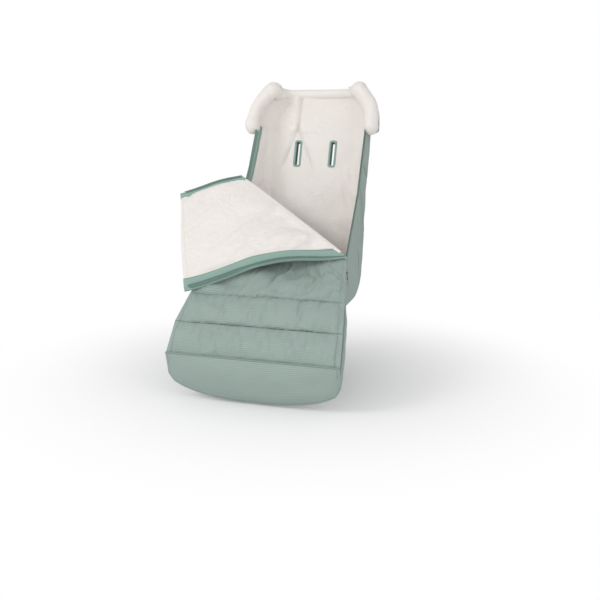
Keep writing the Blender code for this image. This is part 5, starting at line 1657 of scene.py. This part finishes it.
def build_base_pieces():
    stations = sorted(set(spread(0.0, TOP_STATION, 33) + [KNEE_STATION, CREASE_STATION]))
    fine_stations, fine_places = np.array(spread(0.0, TOP_STATION, 241)), np.array(spread(-3.0, 3.0, 221))
    grid = Grid(both_sides(BASE_SECTION), stations, fine_places, fine_stations)

    def face_at(depth_of):
        return grid.points(lambda t, station: base_inset(station, t, depth_of(t)))

    outer = face_at(lambda t: 0.0)
    normal = normals_of(outer, (0.0, 0.0, -1.0))
    across, along = arc_lengths(outer)
    rim_share, end_share = BASE_FADES
    rim = faded(3.0 - np.abs(fine_places), rim_share)[None, :]
    ends = faded(np.minimum(fine_stations, TOP_STATION - fine_stations), end_share)[:, None]
    seams = [np.interp(s, fine_stations, along[:, len(fine_places) // 2]) for s in BASE_SEAM_STATIONS]
    relief = puckers(along, across, seams, 101) * BASE_PUCKER_share + waves(across, along, BASE_WAVES)
    corner = np.abs(np.abs(fine_places) - 1.0)[None, :]
    lift = (BASE_RAISE + relief) * rim * ends - seam_dent(along, seams, *BASE_PINCH) * rim
    lift = lift - BASE_CORNER_DENT[0] * bell(corner, 0.0, BASE_CORNER_DENT[1])
    # Painted shade: seam grooves and the corner crease of the base are darkened.
    seam_width, corner_width = BASE_TINT_WIDTHS
    tint = np.clip(seam_dent(along, seams, 1.0, seam_width) * rim + bell(corner, 0.0, corner_width), 0, 1)
    under = face_at(lambda t: wadding_face(t) - CLEARANCE)
    fabric = closed_sheet("base_fabric", lifted(outer, normal, lift), under, SHELL_LOOK, tint)
    cut_slots(fabric)
    nodes = [part + layer for part in ("leg", "seat", "back") for layer in ("_shell", "_wadding")]
    settle(fabric, "bag", nodes)

    span = np.array(spread(-1.0, 1.0, LINING_COLUMNS))
    tops = [facing_top(station) - LINING_GAP_share for station in fine_stations]

    def below_facing(face):
        return np.array([read_at(face[row], fine_places, span * top) for row, top in enumerate(tops)])

    low = below_facing(face_at(lambda t: wadding_face(t) + CLEARANCE))
    high = below_facing(face_at(lining_face))
    inward = normals_of(high, (0.0, 0.0, 1.0))
    across, along = arc_lengths(high)
    edge = faded(1.0 - np.abs(span), LINING_EDGE_share)[None, :] ** 0.5
    head_end = faded(TOP_STATION - fine_stations, end_share)[:, None]
    lift = lining_waves(high, across, along) * edge * head_end
    lift = lift + tufts(across, along, *BASE_PILE) + back_creases(high) * edge
    high = lifted(high, inward, lift * away_from_slots(high))
    fleece = closed_sheet("base_fleece", high, low, FLEECE_LOOK, crease_shade(high))
    cut_slots(fleece)
    settle(fleece, "bag", ("leg_lining", "seat_lining", "back_lining"))


def lining_waves(points, across, along):
    """Soft wrinkles of the lining, and folds at the seat's corners."""
    x, y, z = np.moveaxis(points, -1, 0)
    height, size, seed = LINING_TUFTS
    soft = waves(across, along, LINING_WAVES) + tufts(across, along, height, seed, size)
    hip = HIP_HEIGHT * (HIP_TOP_share - np.abs(waves(x + y, z - y, HIP_FOLDS))) * ramp(np.abs(x), *HIP_ACROSS)
    return soft + hip * (1.0 - ramp(z, *HIP_UP))


def crease_lines(points):
    """How far off each branch of the drag line is, and its strength: it forks on its way down."""
    x, z = points[..., 0], points[..., 2]
    down = np.clip(CREASE_FORK_Z - z, 0.0, 1.0)
    upper = ramp(z, *[CREASE_FORK_Z + step for step in CREASE_FORK_BLEND])
    lower = (1.0 - upper) * ramp(z, *[CREASE_FORK_Z + step for step in CREASE_END])
    lean, left, right = CREASE_LEANS
    yield x - CREASE_X - lean * (z - CREASE_FORK_Z), upper
    yield x - CREASE_X + left * down, lower
    yield x - CREASE_X - right * down, lower


def back_creases(points):
    """Sharp creases between plump shoulders."""
    shoulder, valley = CREASE_SHAPE_shares
    creases = 0.0
    for away, strength in crease_lines(points):
        shape = shoulder * bell(away, 0.0, CREASE_SHOULDER) - valley * np.exp(-np.abs(away) / CREASE_WIDTH)
        creases = creases + CREASE_DEPTH * shape * strength
    return creases


def crease_shade(points):
    """Painted shade: the fleece is darkened along the creases, where shade falls."""
    dark, width = CREASE_SHADE
    tint = sum(dark * bell(away, 0.0, width) * strength for away, strength in crease_lines(points))
    return np.clip(tint, 0, 1)


def away_from_slots(points):
    """0 beside a harness slot, and 1 from a little way off."""
    calm = np.ones(points.shape[:2])
    for _, place, length, _ in slot_places():
        matrix = np.array(place.inverted())
        x, y, z = np.abs(np.moveaxis(points @ matrix[:3, :3].T + matrix[:3, 3], -1, 0))
        beside = np.where(z < SLOT_DEPTH, np.maximum(x - SLOT_WIDTH / 2, y - length / 2), 1.0)
        calm = np.minimum(calm, ramp(beside, *SLOT_CALM))
    return calm


def build_slot_trims():
    """A bound edge round each harness slot, on the fleece."""
    depth = lining_face(0.0) + TRIM_STAND
    corner = TRIM_WIDTH * TRIM_CORNER_share
    for word, place, length, _ in slot_places():
        half_x, half_y = SLOT_WIDTH / 2 + TRIM_WIDTH / 2, length / 2 + TRIM_WIDTH / 2
        path = []
        for x, y, start in ((1, -1, -90), (1, 1, 0), (-1, 1, 90), (-1, -1, 180)):
            for angle in np.radians(start + np.linspace(0, 90, 5)):
                turn_x, turn_y = corner * math.cos(angle), corner * math.sin(angle)
                path.append((x * (half_x - corner) + turn_x, y * (half_y - corner) + turn_y))
        path = np.array(path + path[:1])
        run = run_along(path)
        fine = np.linspace(0.0, run[-1], TRIM_AROUND + 1)[:-1]
        middle = read_at(path, run, fine)
        way = unit(np.roll(middle, -1, axis=0) - np.roll(middle, 1, axis=0))
        out = np.stack([way[:, 1], -way[:, 0]], axis=1) * TRIM_WIDTH
        rings = []
        for share, up in TRIM_SECTION:
            lift = depth + TRIM_HEIGHT * up
            rings += [tuple(place @ Vector((x, y, lift))) for x, y in middle + out * share]
        count = len(TRIM_SECTION)
        uv = np.stack([np.tile(fine, count), np.repeat(np.arange(count) * TRIM_HEIGHT, TRIM_AROUND)], axis=1)
        faces = ring_faces(count, TRIM_AROUND, closed=True)
        settle(new_piece("slot_trim_" + word, rings, faces, BAND_LOOK, uv, TRIM_TINT), "bag")


def cut_slots(piece):
    """Opens the harness slots through a base layer."""
    for _, place, length, _ in slot_places():
        half_x, half_y = SLOT_WIDTH / 2 + BINDING_THICKNESS, length / 2 + BINDING_THICKNESS
        corners = []
        for z in (-CUT_OVERRUN, lining_face(0.0) + CUT_OVERRUN):
            corners += [place @ Vector((x * half_x, y * half_y, z)) for x, y in SQUARE]
        faces = [(3, 2, 1, 0), (4, 5, 6, 7)] + [(i, (i + 1) % 4, (i + 1) % 4 + 4, i + 4) for i in range(4)]
        mesh = plain_mesh("slot_cutter", corners, faces)
        cutter = linked("slot_cutter", mesh)
        modifier = piece.modifiers.new("slot", "BOOLEAN")
        modifier.object = cutter
        modifier.operation = "DIFFERENCE"
        modifier.solver = "EXACT"
        graph = bpy.context.evaluated_depsgraph_get()
        cut = bpy.data.meshes.new_from_object(piece.evaluated_get(graph), depsgraph=graph)
        piece.modifiers.clear()
        old, piece.data = piece.data, cut
        bpy.data.meshes.remove(old)
        bpy.data.objects.remove(cutter, do_unlink=True)
        bpy.data.meshes.remove(mesh)


def build_side_facings():
    stations, fine_stations = spread(0.0, TOP_STATION, 65), spread(0.0, TOP_STATION, 321)
    grid = Grid(spread(0.0, 1.0, 5), stations, spread(0.0, 1.0, 13), fine_stations)
    place = grid.fine_us[None, :] * FACING_WIDTH
    height, long, wide = SIDE_FACING_RIPPLE
    for word, side, seed in (("right", 1, 131), ("left", -1, 132)):

        def face_at(extra):
            def point(share, station):
                t = mix(facing_top(station) - SIDE_FACING_TUCK, 3.0, share)
                return base_inset(station, side * t, wadding_face(t) + extra)

            return grid.points(point)

        low = face_at(FACING_CLEARANCE * SIDE_FACING_GROUND_share)
        high = face_at(FACING_CLEARANCE + FACING_THICKNESS)
        way = unit(high - low)
        across, along = arc_lengths(high)
        relief = height * noise(along / long, across / wide, seed)
        relief = relief + SIDE_FACING_SWELL * np.sin(np.pi * grid.fine_us)[None, :]
        at, dent, width = SIDE_FACING_GROOVE
        high = lifted(high, way, relief - dent * bell(place, at, width))
        # Painted shade and seam line at the facing's groove and stitches.
        tint = sum(dark * bell(place, at, width) for dark, at, width in SIDE_FACING_TINTS)
        tint = np.clip(np.repeat(tint, len(grid.fine_vs), axis=0), 0, 1)
        piece = closed_sheet("side_facing_" + word, high, low, BAND_LOOK, tint)
        settle(piece, "bag", ("wing_facing_" + word,))
        column = int(np.argmin(np.abs(grid.fine_us - SIDE_STITCH_share)))
        path = (high[:, column], way[:, column])
        stitched("side_facing_stitches_" + word, [path], THREAD_LOOK, "bag")


def build_zip(word, side, name, low, high, anchor_of, body, node):
    """A tape and a row of teeth; the base's ones lie on the other side of the zip's middle line."""
    sign = -1.0 if name == "base" else 1.0
    mirror = np.array((side, 1.0, 1.0))
    stations = sorted(set(zip_stations(low, high) + spread(low, high, ZIP_COARSE)))
    lines = [[], [], [], []]
    for station in stations:
        _, way, face = zip_axes(station)
        for line, vector in zip(lines, (zip_centre(station), way, face, anchor_of(station))):
            line.append(tuple(vector))
    lines = [np.array(line) for line in lines]
    length = run_along(lines[0])

    def placed(points):
        points = points * mirror
        return turned(points) if body == "flap" else points

    places = np.arange(0.0, length[-1], ZIP_STEP)
    centre, across, out, ends = [read_at(line, length, places) for line in lines]
    begin = centre + across * (sign * (BEAD_GAP / 2 + BEAD_WIDTH * TAPE_START_share))
    middle = np.stack([begin * (1 - share) + ends * share for share in TAPE_COLUMN_shares], axis=1)
    thick = unit(np.cross(np.gradient(middle, axis=0), np.gradient(middle, axis=1)))
    facing_out = np.sign((thick * out[:, None, :]).sum(axis=2, keepdims=True) + TINY)
    thick *= facing_out * TAPE_THICKNESS * TAPE_HALF_share
    tape = closed_sheet(name + "_tape_" + word, placed(middle + thick), placed(middle - thick), TAPE_LOOK)
    settle(tape, body, (node,))

    places = np.arange(TOOTH_PITCH / 2, length[-1], TOOTH_PITCH)
    if sign > 0:
        places = places + TOOTH_PITCH / 2
        places = places[places < length[-1]]
    centre, across, out = [read_at(line, length, places) for line in lines[:3]]
    tangent = unit(np.gradient(centre, axis=0)) * TOOTH_LENGTH / 2
    out = out * BEAD_THICKNESS / 2 * TOOTH_HEIGHT_share
    corners = []
    for part, grow in TOOTH_PROFILE:
        root = centre + across * (sign * (BEAD_GAP / 2 + BEAD_WIDTH * part))
        corners += [root + tangent * (x * grow) + out * (y * grow) for x, y in SQUARE]
    tooth_faces = np.array(ring_faces(len(TOOTH_PROFILE), len(SQUARE)))
    starts = np.arange(len(places)) * len(corners)
    faces = (starts[:, None, None] + tooth_faces).reshape(-1, len(SQUARE)).tolist()
    vertices = placed(np.stack(corners, axis=1).reshape(-1, 3))
    teeth = new_piece(name + "_teeth_" + word, vertices, faces, COIL_LOOK)
    if side * sign < 0:
        teeth.data.flip_normals()
    teeth.data.shade_flat()
    settle(teeth, body)


def build_all_zips():
    start = STOP_LENGTH / (zip_knot(1) - zip_knot(0)).length * 2
    for side, word, last in ((1, "right", RIGHT_FOLD_STATION), (-1, "left", LEFT_FOLD_STATION)):

        def base_end(station):
            return on_base_rows(base_anchor, station)

        def cover_end(station):
            sheet = (cover_offset, cover_inner_face, COVER_TAPE_CLEARANCE, lower_rows())
            end = under_edge(*sheet, lambda _: COLUMN_shares, side, lower_share(station, last))
            return mirrored(end, side)

        def flap_end(station):
            sheet = (flap_offset, band_face, FLAP_TAPE_CLEARANCES[word], flap_rows(), flap_columns)
            return mirrored(under_edge(*sheet, side, (station - last) / (FLAP_HEM_STATION - last)), side)

        build_zip(word, side, "base", start, TOP_STATION, base_end, "bag", "base_zip_" + word)
        build_zip(word, side, "cover", start, last - SOFT_STEP / 2, cover_end, "bag", "cover_zip_" + word)
        low = last + FLAP_ZIP_START
        build_zip(word, side, "flap", low, TOP_STATION, flap_end, "flap", "flap_zip_" + word)


def build_head_pieces():
    start = HEAD_START_share
    places, fine_places = both_sides(HEAD_SECTION), spread(-3.0, 3.0, 201)
    grid = Grid(places, spread(start, 1.0, 13), fine_places, spread(start, 1.0, 53))

    def face_at(depth_of):
        return grid.points(lambda t, share: head_inset(share, t, depth_of(share, t)))

    def wadding_end(share, t):
        padding = mix(1.0, HEAD_TOP_PADDING_share, max(share, 0.0) ** 2)
        return SHELL + CLEARANCE + (WADDING + head_loft(t)) * padding

    outer = face_at(lambda share, t: 0.0)
    middle = face_at(lambda share, t: wadding_end(share, t) - CLEARANCE)
    low = face_at(lambda share, t: wadding_end(share, t) + CLEARANCE)
    high = face_at(lambda share, t: wadding_end(share, t) + CLEARANCE + FLEECE)
    across, along = arc_lengths(outer)
    side_share, top_share = HEAD_FADES
    top = grid.fine_vs[:, None]
    rim = faded(3.0 - np.abs(grid.fine_us), side_share)[None, :] * faded(1.0 - top, top_share)
    face = lifted(outer, normals_of(outer, (0.0, 1.0, 0.0)), waves(across, along, HEAD_WAVES) * rim)
    fabric = closed_sheet("head_fabric", face, middle, SHELL_LOOK, bulge=HEAD_BULGES[0])
    settle(fabric, "bag", ("head_shell", "head_wadding"))
    plump = back_creases(high) * rim + HEAD_PLUMP * np.sin(np.pi * np.clip(top, 0, 1)) * rim
    wave = waves(across, along, HEAD_LINING_WAVES) * rim * faded(top, HEAD_WAVE_START_share)
    lift = plump + tufts(across, along, *HEAD_PILE) + wave
    high = lifted(high, normals_of(high, (0.0, -1.0, 0.0)), lift)
    fleece = closed_sheet("head_fleece", high, low, FLEECE_LOOK, crease_shade(high), bulge=HEAD_BULGES[1])
    settle(fleece, "bag", ("head_lining",))
    build_head_roll(outer, high)


def build_head_roll(outer, inner):
    """The plump fleece edge that rolls over the rim of the head end."""
    row, last_row, last_column = HEAD_ROLL_ROW, len(outer) - 1, outer.shape[1] - 1
    rim = [(row, column) for column in range(HEAD_ROLL_RETURN, 0, -1)]
    rim += [(r, 0) for r in range(row, last_row + 1)] + [(last_row, c) for c in range(1, last_column)]
    rim += [(r, last_column) for r in range(last_row, row - 1, -1)]
    rim += [(row, last_column - column) for column in range(1, HEAD_ROLL_RETURN + 1)]
    r, c = np.array(rim).T
    up, down, side = HEAD_ROLL_INWARD
    inward = (np.clip(r, row + up, last_row - down), np.clip(c, side, last_column - side))
    middle, thickness = (outer + inner) / 2, outer - inner
    out = unit(middle[r, c] - middle[inward])
    thick = np.linalg.norm(thickness[r, c], axis=1, keepdims=True) / 2 + HEAD_ROLL_PROUD
    on_end = (r == row) & (c > 0) & (c < last_column)
    sink = np.where(on_end, HEAD_ROLL_END_SINK_share, HEAD_ROLL_SINK_share)[:, None]
    centre = middle[r, c] - out * thick * sink
    run = run_along(centre)
    fine = np.arange(0.0, run[-1], HEAD_ROLL_STEP)
    kernel = np.ones(2 * HEAD_ROLL_EASE + 1) / (2 * HEAD_ROLL_EASE + 1)

    def eased(values):
        padded = np.pad(read_at(values, run, fine), ((HEAD_ROLL_EASE, HEAD_ROLL_EASE), (0, 0)), mode="edge")
        return np.stack([np.convolve(column, kernel, "valid") for column in padded.T], axis=1)

    centre, across = eased(centre), eased(thickness[r, c])
    thick = np.interp(fine, run, thick[:, 0])
    tangent = unit(np.gradient(centre, axis=0))
    across = unit(across - tangent * (across * tangent).sum(axis=1, keepdims=True))
    third = np.cross(tangent, across)
    taper, least = HEAD_ROLL_END
    end = np.clip(np.minimum(fine, fine[-1] - fine) / taper, least, 1.0) ** 0.5
    height, long, twist, seed = HEAD_ROLL_BULGE
    rings = []
    for turn in np.linspace(0.0, 2.0 * math.pi, HEAD_ROLL_SIDES + 1)[:-1]:
        bulge = 1.0 + height * noise(fine / long, np.full_like(fine, turn * twist), seed)
        reach = (thick * end * bulge)[:, None]
        rings.append(centre + across * reach * math.cos(turn) + third * reach * math.sin(turn))
    vertices = np.stack(rings, axis=1).reshape(-1, 3)
    piece = new_piece("head_edge_roll", vertices, ring_faces(len(fine), HEAD_ROLL_SIDES), FLEECE_LOOK)
    settle(piece, "bag", ())


def build_pocket_pieces():
    columns, fine_columns = spread(-1.0, 1.0, 31), spread(-1.0, 1.0, 161)
    mouth, foot = POCKET_ROW_shares[0], POCKET_ROW_shares[-1]
    grid = Grid(columns, spread(mouth, foot, 13), fine_columns, spread(mouth, foot, 45))

    def pocket_face(c, share, stand_share, extra):
        return head_inset(share, c * POCKET_REACH, -pocket_stand(stand_share, c) - extra)

    inner = grid.points(lambda c, share: pocket_face(c, share, share, 0.0))
    outer = grid.points(lambda c, share: pocket_face(c, share, share, POCKET_THICKNESS))
    way = unit(outer - inner)
    across, along = arc_lengths(outer)
    rim = faded(1.0 - np.abs(grid.fine_us), POCKET_EDGE_share)[None, :]
    gathers = waves(across, along, POCKET_GATHERS) * np.exp(-along / MOUTH_REACH)
    shift = (gathers + waves(across, along, POCKET_WAVES)) * rim
    strength, at, width = POCKET_TINT
    tint = strength * bell(along, at, width)
    faces = lifted(outer, way, shift), lifted(inner, way, shift)
    piece = closed_sheet("pocket_fabric", *faces, SHELL_LOOK, tint)
    settle(piece, "bag", ("pocket_rear",))

    top = mouth - CLEARANCE / HEAD_LENGTH
    low_share = top - ELASTIC_HEIGHT / HEAD_LENGTH
    grid = Grid(columns, spread(low_share, top, 5), fine_columns, spread(low_share, top, 13))
    low = grid.points(lambda c, share: pocket_face(c, share, mouth, 0.0))
    high = grid.points(lambda c, share: pocket_face(c, share, mouth, ELASTIC_THICKNESS))
    way = unit(high - low)
    across, along = arc_lengths(high)
    profile = np.sin(np.pi * (grid.fine_vs - low_share) / (top - low_share))[:, None]
    outside, inside = ELASTIC_SWELLS
    swell = (waves(across, along, ELASTIC_GATHERS) * rim + outside) * np.maximum(profile, 0.0) ** 0.6
    high, low = lifted(high, way, swell), lifted(low, way, -inside * profile * rim)
    elastic = closed_sheet("pocket_gathered_edge", high, low, SHELL_LOOK)
    settle(elastic, "bag", ("pocket_elastic",))


def dress_packed_parts():
    """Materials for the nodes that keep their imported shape."""
    looks = {
        "black_metal": METAL_LOOK,
        "grey_cord": CORD_LOOK,
        "strap_webbing": WEBBING_LOOK,
        "grip_mesh": GRIP_LOOK,
    }
    slots = {entry["node"]: entry["material_slot"] for entry in frame["record"]["subparts"]}
    for name, node in frame["nodes"].items():
        look = BINDING_LOOK if name.startswith("slot_binding") else looks.get(slots.get(name))
        if look is not None:
            node.data.materials.clear()
            node.data.materials.append(look)


def seen_rays(tree):
    """1 for what the camera sees, also in gloss or through glass."""
    path = add_node(tree, "LightPath", {}).outputs
    seen = path["Is Camera Ray"]
    for other in ("Is Glossy Ray", "Is Transmission Ray"):
        seen = add_node(tree, "Math", {0: seen, 1: path[other]}, operation="MAXIMUM").outputs[0]
    return seen


def build_floor():
    look = Look("floor", 1.0)
    tree, shader = look.tree, look.shader
    corners = [(x * FLOOR_REACH, y * FLOOR_REACH, CAD_BOX[0][2] - FLOOR_DROP) for x, y in SQUARE]
    floor = linked("floor", plain_mesh("floor", corners, [(0, 1, 2, 3)]))
    floor.data.materials.append(look.material)
    shader.inputs["Base Color"].default_value = (*FLOOR_COLOUR, 1.0)
    shader.inputs["Specular IOR Level"].default_value = 0.0
    away = add_node(tree, "VectorMath", {0: look.place()}, operation="LENGTH").outputs["Value"]
    fade_inputs = {"Value": away, "From Min": FLOOR_SHADOW_REACH, "From Max": FLOOR_WHITE_REACH}
    fade = add_node(tree, "MapRange", fade_inputs, interpolation_type="SMOOTHSTEP").outputs["Result"]
    white = add_node(tree, "Emission", {"Strength": 1.0}).outputs["Emission"]
    share = look.times(fade, seen_rays(tree))
    blend = add_node(tree, "MixShader", {"Fac": share, 1: shader.outputs["BSDF"], 2: white})
    tree.links.new(blend.outputs["Shader"], tree.nodes["Material Output"].inputs["Surface"])


def build_light():
    world = bpy.context.scene.world or bpy.data.worlds.new("world")
    bpy.context.scene.world = world
    world.use_nodes = True
    tree = world.node_tree
    tree.nodes.clear()
    light, seen = [
        add_node(tree, "Background", {"Color": WHITE, "Strength": strength}).outputs[0]
        for strength in (WORLD_LIGHT, 1.0)
    ]
    blend = add_node(tree, "MixShader", {"Fac": seen_rays(tree), 1: light, 2: seen})
    add_node(tree, "OutputWorld", {"Surface": blend.outputs[0]})
    for name, place, size, power in LAMPS:
        data = bpy.data.lights.new(name, "AREA")
        data.shape = "SQUARE"
        data.size = size
        data.energy = power
        lamp = linked(name, data)
        lamp.location = place
        lamp.rotation_euler = (LIT_PLACE - Vector(place)).to_track_quat("-Z", "Y").to_euler()


def build_camera():
    data = bpy.data.cameras.new("camera")
    data.sensor_width = SENSOR_MM
    data.lens = FOCAL_PX * SENSOR_MM / PHOTO_SIZE
    data.shift_x = (PHOTO_SIZE / 2 - PRINCIPAL_PX[0]) / PHOTO_SIZE
    data.shift_y = (PRINCIPAL_PX[1] - PHOTO_SIZE / 2) / PHOTO_SIZE
    camera = linked("camera", data)
    camera.matrix_world = axes_matrix(CAMERA_AT, CAMERA_RIGHT, CAMERA_UP, CAMERA_BACK)
    bpy.context.scene.camera = camera


def main():
    build_camera()
    build_cover()
    build_flap_pieces()
    build_fold_roll()
    build_toe_pieces()
    build_base_pieces()
    build_slot_trims()
    build_side_facings()
    build_head_pieces()
    build_pocket_pieces()
    build_all_zips()
    dress_packed_parts()
    build_floor()
    build_light()
    bpy.context.scene.view_settings.view_transform = "Standard"


main()
